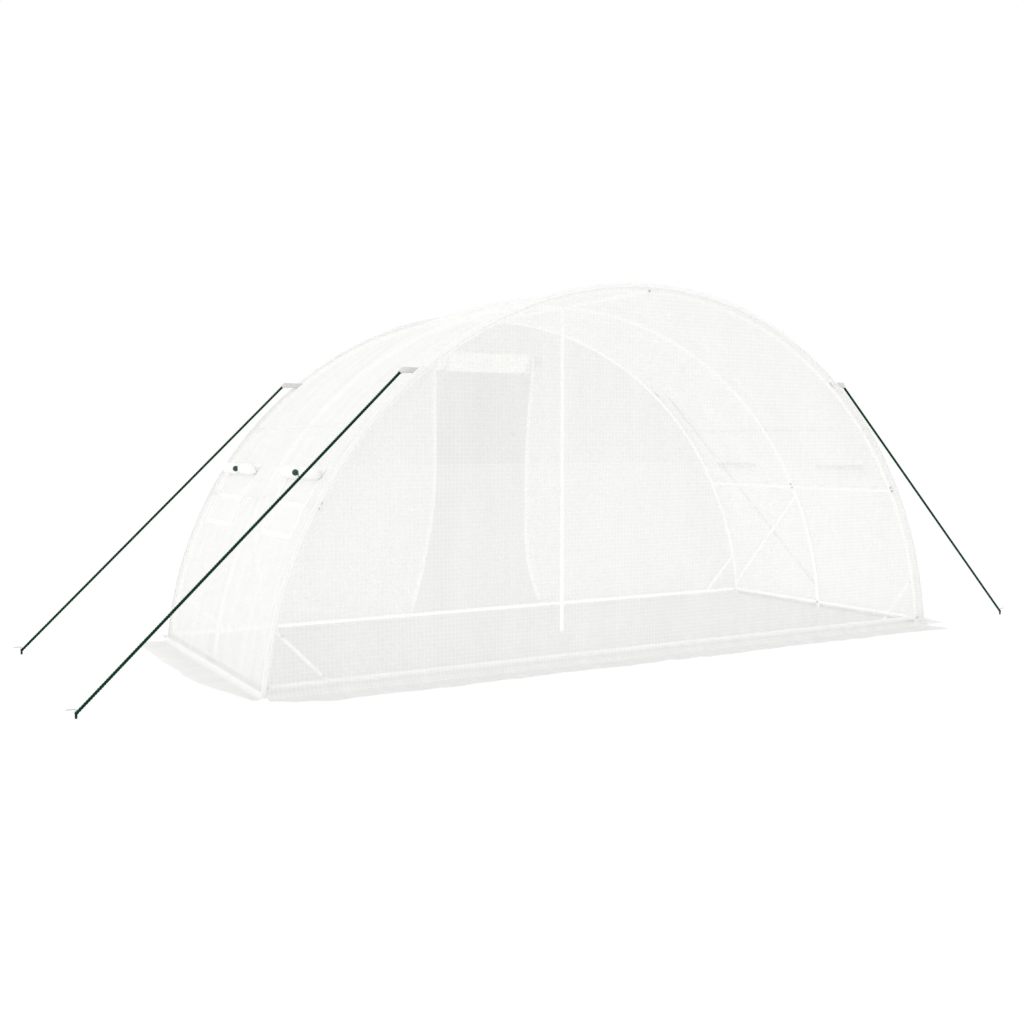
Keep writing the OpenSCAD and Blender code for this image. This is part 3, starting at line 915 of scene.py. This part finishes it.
def door_edges(z, door):
    """Left and right edge of the doorway at height z: straight above, flared at the foot, waisted on the right."""
    left = -door.left - door.left_flare * np.clip(1 - z / door.left_flare_h, 0, 1) ** 1.8
    foot = door.right_flare * np.clip(1 - z / door.right_flare_h, 0, 1) ** 2.6
    return left, door.right + foot + door.right_head * np.clip((z - 0.9) / 1.0, 0, 1) ** 2


class DressGables(bpy.types.Operator):
    """Hangs the closed front gable and the back gable with its doorway, each with its skirt"""

    bl_idname = "polytunnel.gables"
    bl_label = "Gables"

    def execute(self, context):
        cover = context.scene.tunnel_cover
        door = context.scene.tunnel_door
        film = film_finish("gable_film", cover, skirt=lambda v: v.below(cover.flare - SKIRT_PAST))
        self.front(cover, film)
        self.back(cover, door, film)
        return {"FINISHED"}

    def heights(self, cover, *stops):
        """Heights of the rows, evenly spaced by angle on the film circle, through the stops."""
        rows, fewest, short = 70, 8, 0.004
        ends = [*(-angle_at(z) for z in (cover.flare, *stops)), -short]
        counts = [max(fewest, int(rows * (b - a) / -ends[0])) for a, b in zip(ends, ends[1:])]
        a = steps(*(stop for pair in zip(ends, counts) for stop in pair), ends[-1])
        return FILM_Z + FILM_R * np.cos(a)

    def sheet_points(self, cover, z, x, width, side, seed):
        """Points and map of one gable: skirt rows on the ground, then wall rows above the flare."""
        wall = join(x, side * (SHEET_Y + gable_folds(x, z[:, None], cover, seed)), z[:, None])
        offset, height, on_ground = foot_run(cover, np.minimum(width, SKIRT_W))
        foot_x = x[0] * arc_x(np.minimum(height, cover.flare)) / arc_x(cover.flare)
        foot_y = side * (SHEET_Y + offset)
        ground = join(foot_x, foot_y, height + skirt_lift(foot_x, foot_y, on_ground, cover, seed + 5))
        points = np.concatenate([ground[:-1], wall])
        below = run_to_end(ground[:, ground.shape[1] // 3])
        v = np.concatenate([cover.flare - below[:-1], z])
        return points, join(points[..., 0], v[:, None])

    def front(self, cover, film):
        """Closed gable, with a skirt that is trimmed off at the left, wavy along the front and full at the right."""
        z = self.heights(cover)
        x = np.linspace(-1, 1, 181) * arc_x(z)[:, None]
        width = np.interp(x[0], [-2.55, -2.39, -2.2, -1.9, 2.2, 2.53], [0.055, 0.15, 0.215, 0.205, 0.205, 0.236])
        width = width + 0.014 * waves(x[0], 0, 23, 0.35, 1.6)
        piece = Piece("front_gable_sheet")
        piece.grid(*self.sheet_points(cover, z, x, width, -1, 31), flip=True)
        self.declare(piece.make(film, "cover_film", "front_gable_film", "front_skirt"), 0.0)

    def back(self, cover, door, film):
        """Gable in three runs of columns, left of the door, over it and right of it, without the doorway's quads."""
        z = self.heights(cover, door.head)
        half = arc_x(z)
        at_head = door_edges(np.array(door.head), door)
        edges = door_edges(np.minimum(z, door.head), door)
        left, right = (
            np.where(z > door.head, top / arc_x(door.head) * half, edge) for top, edge in zip(at_head, edges)
        )
        counts = (71, 36, 75)
        bounds = (-half, left, right, half)
        runs = [
            a[:, None] + (b - a)[:, None] * np.linspace(0, 1, count, endpoint=False)
            for a, b, count in zip(bounds, bounds[1:], counts)
        ]
        x = np.concatenate([*runs, half[:, None]], 1)
        width = 0.222 + 0.012 * waves(x[0], 0, 41, 0.35, 1.6)
        points, maps = self.sheet_points(cover, z, x, width, 1, BACK_FOLDS)
        row_z = (points[:-1, 0, 2] + points[1:, 0, 2]) / 2
        row_z[: len(points) - len(z)] = 0
        in_door = np.repeat([False, True, False], counts)
        piece = Piece("back_gable_sheet")
        piece.grid(points, maps, keep=~((row_z < door.head)[:, None] & in_door))
        made = piece.make(film, "cover_film", "back_gable_film", "back_skirt")
        left, right = door_edges(np.linspace(0, door.head, 60), door)
        foot_width = 1.2
        self.declare(made, float((right - left).mean() * door.head) + foot_width * SKIRT_W)

    def declare(self, made, opening):
        """Flat cut: the area of the gable's circle segment, worked out and not kept. The skirt is not added, and the
        opening is not used.
        """
        segment = FILM_R**2 * (GROUND_A - math.sin(GROUND_A) * math.cos(GROUND_A))


class DressSeams(bpy.types.Operator):
    """Binds the edges of roof and gables into a seam that stands up around each gable"""

    bl_idname = "polytunnel.seams"
    bl_label = "Gable seams"

    def execute(self, context):
        cover = context.scene.tunnel_cover
        tape = seam_finish("gable_seam_tape", cover)
        for name, side in ENDS:
            self.flange(cover, tape, name, side)
        return {"FINISHED"}

    def flange(self, cover, tape, name, side):
        """A flat rounded section carried round the arc; its top edge sways and its height varies a little."""
        a = np.linspace(-GROUND_A + 0.004, GROUND_A - 0.004, 420)[:, None]
        arc = a * FILM_R
        rise, thick = rounded(1.0, cover.seam_t, 20, 0.35).T
        rise = rise + 0.5
        tall = cover.seam_h * (0.93 + 0.05 * waves(arc, 0, 61 + side, 0.2, 1.1))
        tall = tall * (1 - (1 - cover.seam_flat) * ease((side * -a - 0.2) / 0.45))
        sway = 0.0045 * waves(arc, 0, 71 + side, 0.12, 0.6)
        r = FILM_R - 0.002 + rise * tall
        y = side * (GABLE_Y - 0.003) + side * thick + sway * rise**2 * 0.6
        piece = Piece(f"{name}_seam_flange")
        piece.solid(join(r * np.sin(a), y, np.maximum(FILM_Z + r * np.cos(a), 0.001)))
        made = piece.make(tape, "seam_tape", f"{name}_gable_seam")


def window_places(window):
    """Its side's name, its own name, its side and its middle along the tunnel, for each of the four windows."""
    mid = window_mid(window)
    return [(side_name, name, side, end * mid) for side_name, side in SIDES for name, end in ENDS]


class DressWindows(bpy.types.Operator):
    """Fills each window with insect mesh and binds its edge with tape"""

    bl_idname = "polytunnel.windows"
    bl_label = "Window screens"

    def execute(self, context):
        cover = context.scene.tunnel_cover
        window = context.scene.tunnel_window
        screen = screen_finish("window_mesh", window)
        hems = Piece("window_hems")
        for _, _, side, mid in window_places(window):
            self.hem(hems, cover, window, side, mid)
        hems.make(tape_finish("window_hem_tape", cover), "seam_tape")
        for side_name, name, side, mid in window_places(window):
            self.screen(cover, window, screen, side_name, name, side, mid)
        return {"FINISHED"}

    def screen(self, cover, window, finish, side_name, name, side, mid):
        """Mesh that follows the film, a little slack in the middle, tucked under the tape."""
        tuck = 0.008
        s = np.linspace(WINDOW_TOP_S - tuck, WINDOW_FOOT_S + tuck, 26)[:, None]
        y = np.linspace(mid - window.width / 2 - tuck, mid + window.width / 2 + tuck, 30)
        slack_s, slack_y = (np.sin(np.linspace(0, math.pi, stops.size)) for stops in (s, y))
        points = on_film(side * s, y, -0.0015 - 0.004 * (slack_s[:, None] * slack_y), cover.sag)
        piece = Piece(f"{side_name}_{name}_window_mesh")
        piece.grid(points, join(y, s), flip=side < 0)
        made = piece.make(finish, "window_mesh", f"{side_name}_window_screens")

    def hem(self, piece, cover, window, side, mid):
        """A flat tape carried round a rectangle with rounded corners, drawn on the film."""
        half = np.array([(WINDOW_FOOT_S - WINDOW_TOP_S) / 2, window.width / 2])
        corner = 0.03
        turn = np.linspace(0, math.pi / 2, 7)
        ring = []
        for k, signs in enumerate(((1, 1), (-1, 1), (-1, -1), (1, -1))):
            bend = turn + k * math.pi / 2
            ring.append(signs * (half - corner) + corner * join(np.cos(bend), np.sin(bend)))
        closed = np.concatenate([*ring, ring[0][:1]])
        run = summed(gaps(closed))
        where = np.linspace(0, run[-1], 180, endpoint=False)
        path = join(*(np.interp(where, run, part) for part in closed.T))
        ahead = unit(np.roll(path, -1, 0) - np.roll(path, 1, 0))
        wide, thick = rounded(window.hem, 0.0056, 12).T
        s = (WINDOW_TOP_S + WINDOW_FOOT_S) / 2 + path[:, :1] + ahead[:, 1:] * wide
        y = mid + path[:, 1:] - ahead[:, :1] * wide
        piece.solid(on_film(side * s, y, thick, cover.sag), loop=True)


def rolled_up(turns, outer, inner, count, tail):
    """Section of a rolled-up sheet: distance down the wall, distance out from it, which points are rolled, its run.

    A straight tail comes down along the wall. Then the sheet turns under the roll and winds inwards as the radius
    shrinks evenly.
    """
    turn = np.linspace(0, turns * TAU, count)
    r = outer + (inner - outer) * turn / turn[-1]
    down = np.concatenate([tail, r * np.sin(turn)])
    out = np.concatenate([0 * tail, outer - r * np.cos(turn)])
    return down, out, np.arange(len(down)) >= len(tail), float(np.hypot(np.diff(down), np.diff(out)).sum())


def gathered(t, power):
    """Size of a roll along its length, t from -1 to 1: full, but for the ends, which close up."""
    return np.maximum(1 - np.abs(t) ** power, 0.002) ** 0.5


class DressWindowRolls(bpy.types.Operator):
    """Rolls the window covers up under their top edges and ties them in with ball toggles"""

    bl_idname = "polytunnel.window_rolls"
    bl_label = "Window rolls and toggles"

    def execute(self, context):
        window = context.scene.tunnel_window
        film = roll_finish("window_roll_film", context.scene.tunnel_cover)
        toggles = Piece("window_ball_toggles")
        for seed, (side_name, name, side, mid) in enumerate(window_places(window)):
            self.roll(window, film, side_name, name, side, mid, 81 + seed % 2 + 4 * side)
            self.toggle(toggles, window, side, mid)
        ball = plastic_finish("toggle_plastic", tuple(window.green), rough=0.16, grain=500.0)
        toggles.make(ball, "toggle_plastic", "window_toggles")
        return {"FINISHED"}

    def to_film(self, window, side, down, out, y):
        """Place of a point given by its distance down the film from the roll's axis line and out from the film."""
        a = (WINDOW_TOP_S + window.drop) / FILM_R
        x = (FILM_R + out) * math.sin(a) + down * math.cos(a)
        z = FILM_Z + (FILM_R + out) * math.cos(a) - down * math.sin(a)
        return join(side * x, y, z)

    def roll(self, window, film, side_name, name, side, mid, seed):
        """Spiral section carried along the tunnel, drawn in at its toggle, slumped and creased along its length."""
        length_y = 2 * (ROLL_HIGH[1] - abs(mid))
        y = np.linspace(-length_y / 2, length_y / 2, 96)[:, None]
        outer = window.roll_d / 2
        over_top = 0.012
        tail = np.linspace(-(window.drop + over_top), -0.002, 10)
        down, out, rolled, run = rolled_up(window.turns, outer, outer * 0.42, 120, tail)
        tie = 1 - (1 - window.waist_d / window.roll_d) * bell(y, 0.072)
        slump = 1 + 0.05 * waves(y, 0, seed, 0.12, 0.5)
        crease = 1 + 0.035 * waves(np.arctan2(down, outer - out) * 0.05, y, seed + 7, 0.03, 0.16)
        scale = np.where(rolled, tie * slump * gathered(2 * y / length_y, 10) * crease, 1.0)
        out = np.clip(ROLL_LIFT + out * scale, 0.002, ROLL_REACH)
        points = self.to_film(window, side, down * scale, out, mid + y)
        piece = Piece(f"{side_name}_{name}_window_roll")
        piece.grid(points, metres(points), flip=side > 0)
        made = piece.make(film, "rolled_film", f"{side_name}_window_rolls")

    def toggle(self, piece, window, side, mid):
        """A ball with a dimple at each pole of its bore, and the elastic cord that loops round the roll's waist."""
        r = window.ball_d / 2
        waist = window.waist_d / 2
        gap = 0.0045
        reach = waist + gap + r
        down = reach * math.sin(window.ball_turn)
        out = waist + ROLL_LIFT + reach * math.cos(window.ball_turn)
        polar = np.linspace(0.13, math.pi - 0.13, 22)
        dimple = np.array([[0.05, 0.80], [0.10, 0.90]])
        profile = np.concatenate([dimple, join(np.sin(polar), np.cos(polar)), dimple[::-1] * [1, -1]])
        x, y, z = np.moveaxis(turned(r * profile, 32), -1, 0)
        piece.solid(self.to_film(window, side, down + x, out + y, mid + z))
        swing = turns_of(64)[:, None]
        cord_r = window.cord_d / 2
        loop_r = waist + cord_r + 0.001
        over, along = disc(cord_r, 10).T
        path_out = np.maximum(waist + ROLL_LIFT + loop_r * np.cos(swing), cord_r + CLEAR)
        out = np.maximum(path_out + over * np.cos(swing), 0.0005)
        points = self.to_film(window, side, (loop_r + over) * np.sin(swing), out, mid + along)
        piece.solid(points, loop=True)


class DressDoor(bpy.types.Operator):
    """Rolls the door up over its opening, ties it, and hems the opening"""

    bl_idname = "polytunnel.door"
    bl_label = "Door roll"

    def execute(self, context):
        cover = context.scene.tunnel_cover
        door = context.scene.tunnel_door
        tape = tape_finish("door_tape", cover)
        self.roll(door, roll_finish("door_roll_film", cover))
        self.ties(door, tape)
        self.hems(cover, door, tape)
        return {"FINISHED"}

    def roll(self, door, film):
        """Spiral section carried along x, drawn in at the ties, creased along its length."""
        x = np.linspace(DOOR_ROLL_LOW[0], DOOR_ROLL_HIGH[0], 130)[:, None]
        outer = (DOOR_ROLL_HIGH[2] - DOOR_ROLL_LOW[2]) / 2 - 0.001
        axis_z = (DOOR_ROLL_HIGH[2] + DOOR_ROLL_LOW[2]) / 2
        tail = np.linspace(-outer * 1.25, -0.004, 14)
        down, out, rolled, run = rolled_up(door.turns, outer, outer * 0.36, 330, tail)
        drawn = bell(x + TIE_X, 0.04) + bell(x - TIE_X, 0.04)
        size = 1 - 0.07 * drawn + 0.02 * waves(x, 0, 91, 0.2, 0.9)
        size = size * gathered(2 * (x - x.mean()) / np.ptp(x), 24)
        crease = 1 + 0.018 * waves(np.arctan2(down, outer - out) * 0.1, x, 95, 0.05, 0.5)
        scale = np.where(rolled, np.minimum(size * crease, 1.01), 1.0)
        y = np.minimum(GABLE_Y + 0.004 + out * scale, DOOR_ROLL_HIGH[1] + 0.004)
        points = join(x, y, axis_z - down * scale)
        piece = Piece("door_roll_sheet")
        piece.grid(points, metres(points))
        made = piece.make(film, "rolled_film", "door_roll")

    def ties(self, door, tape):
        """A flat strap carried round the roll and flattened against the gable."""
        swing = turns_of(72)[:, None]
        outer = (TIE_HIGH[2] - TIE_LOW[2]) / 2 - 0.0016
        axis_z = (TIE_HIGH[2] + TIE_LOW[2]) / 2
        axis_y = (DOOR_ROLL_HIGH[1] + DOOR_ROLL_LOW[1]) / 2 + 0.002
        wide, thick = rounded(door.tie_w, 0.0018, 14).T
        y = np.maximum(axis_y + (outer + thick) * np.cos(swing), GABLE_Y + 0.0022 + thick)
        piece = Piece("door_tie_straps")
        for place in (-TIE_X, TIE_X):
            piece.solid(join(place + wide, y, axis_z + (outer + thick) * np.sin(swing)), loop=True)
        made = piece.make(tape, "seam_tape", "door_ties")

    def hems(self, cover, door, tape):
        """Tapes down both edges of the opening, and seams from its head up to the arch."""
        piece = Piece("door_hems")
        wide, thick = rounded(door.hem, 0.003, 12).T
        z = np.linspace(0.006, door.head + 0.02, 110)[:, None]
        for edge, out in zip(door_edges(z, door), (-1, 1)):
            self.strip(piece, cover, edge + wide - out * 0.004, z, thick)
        for place in SEAM_PLACES:
            ceiling = FILM_Z + math.sqrt(FILM_R**2 - place**2) - 0.006
            z = np.linspace(door.head - 0.03, ceiling, 40)[:, None]
            self.strip(piece, cover, place + 0.6 * wide, z, thick)
        piece.make(tape, "seam_tape")

    def strip(self, piece, cover, x, z, thick):
        """A flat section on the back gable, following its folds."""
        y = SHEET_Y + gable_folds(x, z, cover, BACK_FOLDS) + thick + CLEAR
        piece.solid(join(x, y, z))


class DressGuys(bpy.types.Operator):
    """Stretches the four guy ropes from their clips to their pegs"""

    bl_idname = "polytunnel.guys"
    bl_label = "Guy ropes"

    def execute(self, context):
        guy = context.scene.tunnel_guy
        rope = rope_finish("rope_fibre", tuple(guy.green))
        clip = plastic_finish("clip_plastic", tuple(guy.clip), rough=0.42, grain=900.0)
        peg = metal_finish("peg_steel", tuple(guy.peg), rough=0.3)
        screw = metal_finish("clip_screw", tuple(guy.screw), rough=0.35)
        self.corners("guy_rope_lines", self.rope(guy)).make(rope, "rope_fibre", "guy_ropes")
        self.corners("guy_clip_bodies", self.clip(guy)).make(clip, "clip_plastic", "guy_clips")
        self.corners("ground_peg_rods", self.peg(guy)).make(peg, "peg_steel", "ground_pegs")
        self.corners("clip_screws", self.screw(guy), outward=True).make(screw, "peg_steel")
        return {"FINISHED"}

    def corners(self, name, solids, outward=False):
        """Sets solids made for a guy at the right on both sides of both end hoops, turned outward where asked."""
        piece = Piece(name)
        for side in (-1, 1):
            for end in (-1, 1):
                for points in solids:
                    piece.solid(points * [side, end if outward else 1, 1] + [0, end * BAY, 0])
        return piece

    def line(self, guy):
        """A rope at the right: its top at the outer end of its clip, its direction, and its length to its peg."""
        z = CROWN_LINE - guy.clip_drop
        top = np.array([arc_x(z) + guy.clip_reach - guy.inset, 0, z - guy.inset])
        run = np.array([self.peg_x(guy), 0, guy.foot]) - top
        return top, unit(run), np.linalg.norm(run)

    def peg_x(self, guy):
        """Distance of the pegs from the middle."""
        return ROPE_HIGH[0] - guy.winding_d / 2

    def rope(self, guy):
        """Three strands: the outline of three touching circles, turned steadily along a straight line.

        A thinner cord winds down the peg as a helix.
        """
        top, ahead, run = self.line(guy)
        where = np.linspace(0.001, run + 0.004, int(run / guy.lay * 14))[:, None]
        r = guy.rope_d / 2
        phi = turns_of(18)
        lobe = (phi + math.pi / 3) % (TAU / 3) - math.pi / 3
        off, strand = 0.536 * r, 0.464 * r
        radius = off * np.cos(lobe) + np.sqrt(np.maximum(strand**2 - (off * np.sin(lobe)) ** 2, 0))
        radius = np.maximum(radius, 0.66 * r)
        turn = phi + TAU * where / guy.lay
        strands = carry(top + ahead * where, join(radius * np.cos(turn), radius * np.sin(turn)), ALONG)
        cord_r = (guy.winding_d - guy.peg_d) / 4
        helix_r = guy.peg_d / 2 + cord_r - 0.0002
        turns = int((guy.winding_h - 2 * cord_r) / (2.05 * cord_r))
        swing = np.linspace(0, turns * TAU, turns * 18)
        height = np.linspace(guy.winding_h - cord_r, cord_r + 0.0004, len(swing))
        helix = join(self.peg_x(guy) + helix_r * np.cos(swing), helix_r * np.sin(swing), height)
        return strands, carry(helix, disc(cord_r, 8), UP)

    def clip(self, guy):
        """A rounded bar that stands out level from the film, and a tube that takes the rope.

        The bar's section shrinks as a quarter circle at its outer end and a little at its waist.
        """
        z0 = CROWN_LINE - guy.clip_drop
        neck = 0.9  # share of the reach at which the outer end starts
        t = np.concatenate([np.linspace(0, neck, 20), neck + 0.1 * np.sin(np.linspace(0.2, math.pi / 2, 8))])
        size = np.sqrt(1 - 0.75 * np.clip((t - neck) / 0.1, 0, 1) ** 2) * (1 - 0.07 * bell(t - 0.42, 0.1))
        profile = rounded(guy.clip_w, guy.clip_h, 32, 0.35) * size[:, None, None]
        z = z0 + profile[..., 1]
        start = arc_x(z) + CLEAR
        x = start + t[:, None] * (arc_x(z0) + guy.clip_reach - start)
        top, ahead, _ = self.line(guy)
        bore, wall = guy.rope_d / 2 + 0.0003, guy.rope_d / 2 + guy.socket_wall
        radius = np.array([0.001, wall * 0.8, wall, wall, wall * 0.93, bore, bore, 0.001])
        along = np.array([-1, -1, -0.9, 0.88, 1, 1, 0.2, 0.2]) * guy.socket
        socket = turned(join(radius, along), 24) @ np.array([ALONG, np.cross(ahead, ALONG), ahead])
        return join(x, profile[..., 0], z), top + socket

    def screw(self, guy):
        """A low dome in the side of a clip."""
        z0 = CROWN_LINE - guy.clip_drop
        seat = np.array([arc_x(z0) + 0.2 * guy.clip_reach, guy.clip_w / 2, z0 + 0.1 * guy.clip_h])
        dome = np.array([[0.0062, -0.002], [0.0062, 0.0006], [0.0048, 0.0019], [0.0006, 0.0024]])
        return (seat + turned(dome, 24)[..., [0, 2, 1]],)

    def peg(self, guy):
        """A rod up from the ground, round a bend and out along its arm, with a rounded tip."""
        r, x0 = guy.peg_d / 2, self.peg_x(guy)
        top = PEG_HIGH[2] - r
        turn = np.linspace(0, math.pi / 2, 12)
        rise = np.linspace(0, top - guy.bend, 14)[:-1]
        arm = np.linspace(guy.bend, PEG_HIGH[0] - x0, 14)[1:]
        x = np.concatenate([0 * rise, guy.bend * (1 - np.cos(turn)), arm])
        z = np.concatenate([rise, top - guy.bend * (1 - np.sin(turn)), 0 * arm + top])
        path = join(x, 0 * x, z)
        left = np.linalg.norm(path - path[-1], axis=1) / r
        size = np.sqrt(np.clip(1 - np.clip(1 - left, 0, 0.96) ** 2, 0.06, 1))
        points = carry(path, disc(r, 16) * size[:, None, None], ALONG) + [x0, 0, 0]
        points[0, :, 2] = 0
        return (points,)


class SetStage(bpy.types.Operator):
    """Sets the camera, the soft light and a pale floor"""

    bl_idname = "polytunnel.stage"
    bl_label = "Stage"

    def execute(self, context):
        stage = context.scene.tunnel_stage
        scene = context.scene
        scene.view_settings.view_transform = "Standard"
        self.world(scene, stage)
        self.floor(stage)
        self.lights(stage)
        lens = bpy.data.cameras.new("view")
        lens.sensor_width = 36
        lens.lens = stage.lens
        lens.clip_end = 200
        camera = stand("view", lens)
        camera.location = stage.camera
        camera.rotation_euler = (math.pi / 2 - stage.tilt, 0, stage.heading)
        scene.camera = camera
        return {"FINISHED"}

    def lights(self, stage):
        """A soft key, and a wide dim lamp on the ground inside, which brings the tubes up to the level outside."""
        sun = bpy.data.lights.new("soft_key", "SUN")
        sun.energy = stage.key
        sun.angle = stage.key_spread
        stand("soft_key", sun).rotation_euler = (stage.key_tilt, 0, stage.key_heading)
        lamp = bpy.data.lights.new("inner_fill", "AREA")
        lamp.shape = "RECTANGLE"
        lamp.size, lamp.size_y = 1.96 * FOOT, 1.98 * BAY  # a little less than the floor inside
        lamp.energy = stage.fill
        made = stand("inner_fill", lamp)
        made.location = (0, 0, RAIL_H / 2)
        made.rotation_euler = (math.pi, 0, 0)
        made.visible_camera = made.visible_glossy = made.visible_transmission = False

    def seen(self, graph):
        """How a ray meets the stage: 1 where it is looked at, and 1 where no film lies before it."""
        path = graph.node("LightPath")
        looked = graph.value(path, "Is Camera Ray").max(graph.value(path, "Is Glossy Ray"))
        looked = looked.max(graph.value(path, "Is Transmission Ray")) * (1 - graph.value(path, "Is Diffuse Ray"))
        return looked, graph.value(path, "Transparent Depth").below(0.5)

    def world(self, scene, stage):
        """White where it is looked at directly, a pale grey behind film, and plain light on the object."""
        world = bpy.data.worlds.new("surroundings")
        world.use_nodes = True
        scene.world = world
        graph = Graph(world.node_tree)
        looked, direct = self.seen(graph)
        strength = looked * (direct * (1 - stage.beyond) + stage.beyond) + (1 - looked) * stage.ambient
        back = graph.plain("Background", {"Color": WHITE, "Strength": strength})
        graph.node("OutputWorld", None, {"Surface": back})

    def floor(self, stage):
        """A wide plane that keeps the shadow and shows pale."""
        look = Finish("pale_floor")
        looked, direct = self.seen(look)
        own = direct * (stage.floor_lift - stage.floor_behind) + stage.floor_behind
        thrown, shown = (
            look.plain("BsdfDiffuse", {"Color": (tone, tone, tone, 1)}) for tone in (stage.floor, stage.floor_shade)
        )
        light = look.plain("Emission", {"Color": WHITE, "Strength": own})
        finish = look.done(look.shader_mix(looked, thrown, look.plain("AddShader", {0: shown, 1: light})))
        mesh = bpy.data.meshes.new("floor")
        reach = 60.0
        corners = [(x * reach, y * reach, -CLEAR) for x, y in ((-1, -1), (1, -1), (1, 1), (-1, 1))]
        mesh.from_pydata(corners, [], [(0, 1, 2, 3)])
        mesh.materials.append(finish)
        stand("floor", mesh)


class TunnelPanel(bpy.types.Panel):
    """Lists the steps in order"""

    bl_idname = "VIEW3D_PT_polytunnel"
    bl_label = "Polytunnel"
    bl_space_type = "VIEW_3D"
    bl_region_type = "UI"
    bl_category = "Polytunnel"

    def draw(self, context):
        for step in STEPS:
            self.layout.operator(step.bl_idname)


STEPS = (
    SetStage,
    DressFrame,
    DressCover,
    DressGables,
    DressSeams,
    DressWindows,
    DressWindowRolls,
    DressDoor,
    DressGuys,
)
SETTINGS = {
    "tunnel_frame": FrameSettings,
    "tunnel_cover": CoverSettings,
    "tunnel_window": WindowSettings,
    "tunnel_door": DoorSettings,
    "tunnel_guy": GuySettings,
    "tunnel_stage": StageSettings,
}


def register():
    for group in (*SETTINGS.values(), *STEPS, TunnelPanel):
        bpy.utils.register_class(group)
    for name, group in SETTINGS.items():
        setattr(bpy.types.Scene, name, PointerProperty(type=group))


def unregister():
    for name in SETTINGS:
        delattr(bpy.types.Scene, name)
    for group in (TunnelPanel, *reversed(STEPS), *reversed(list(SETTINGS.values()))):
        bpy.utils.unregister_class(group)


def main():
    register()
    for step in STEPS:
        family, name = step.bl_idname.split(".")
        getattr(getattr(bpy.ops, family), name)()


if __name__ == "__main__":
    main()
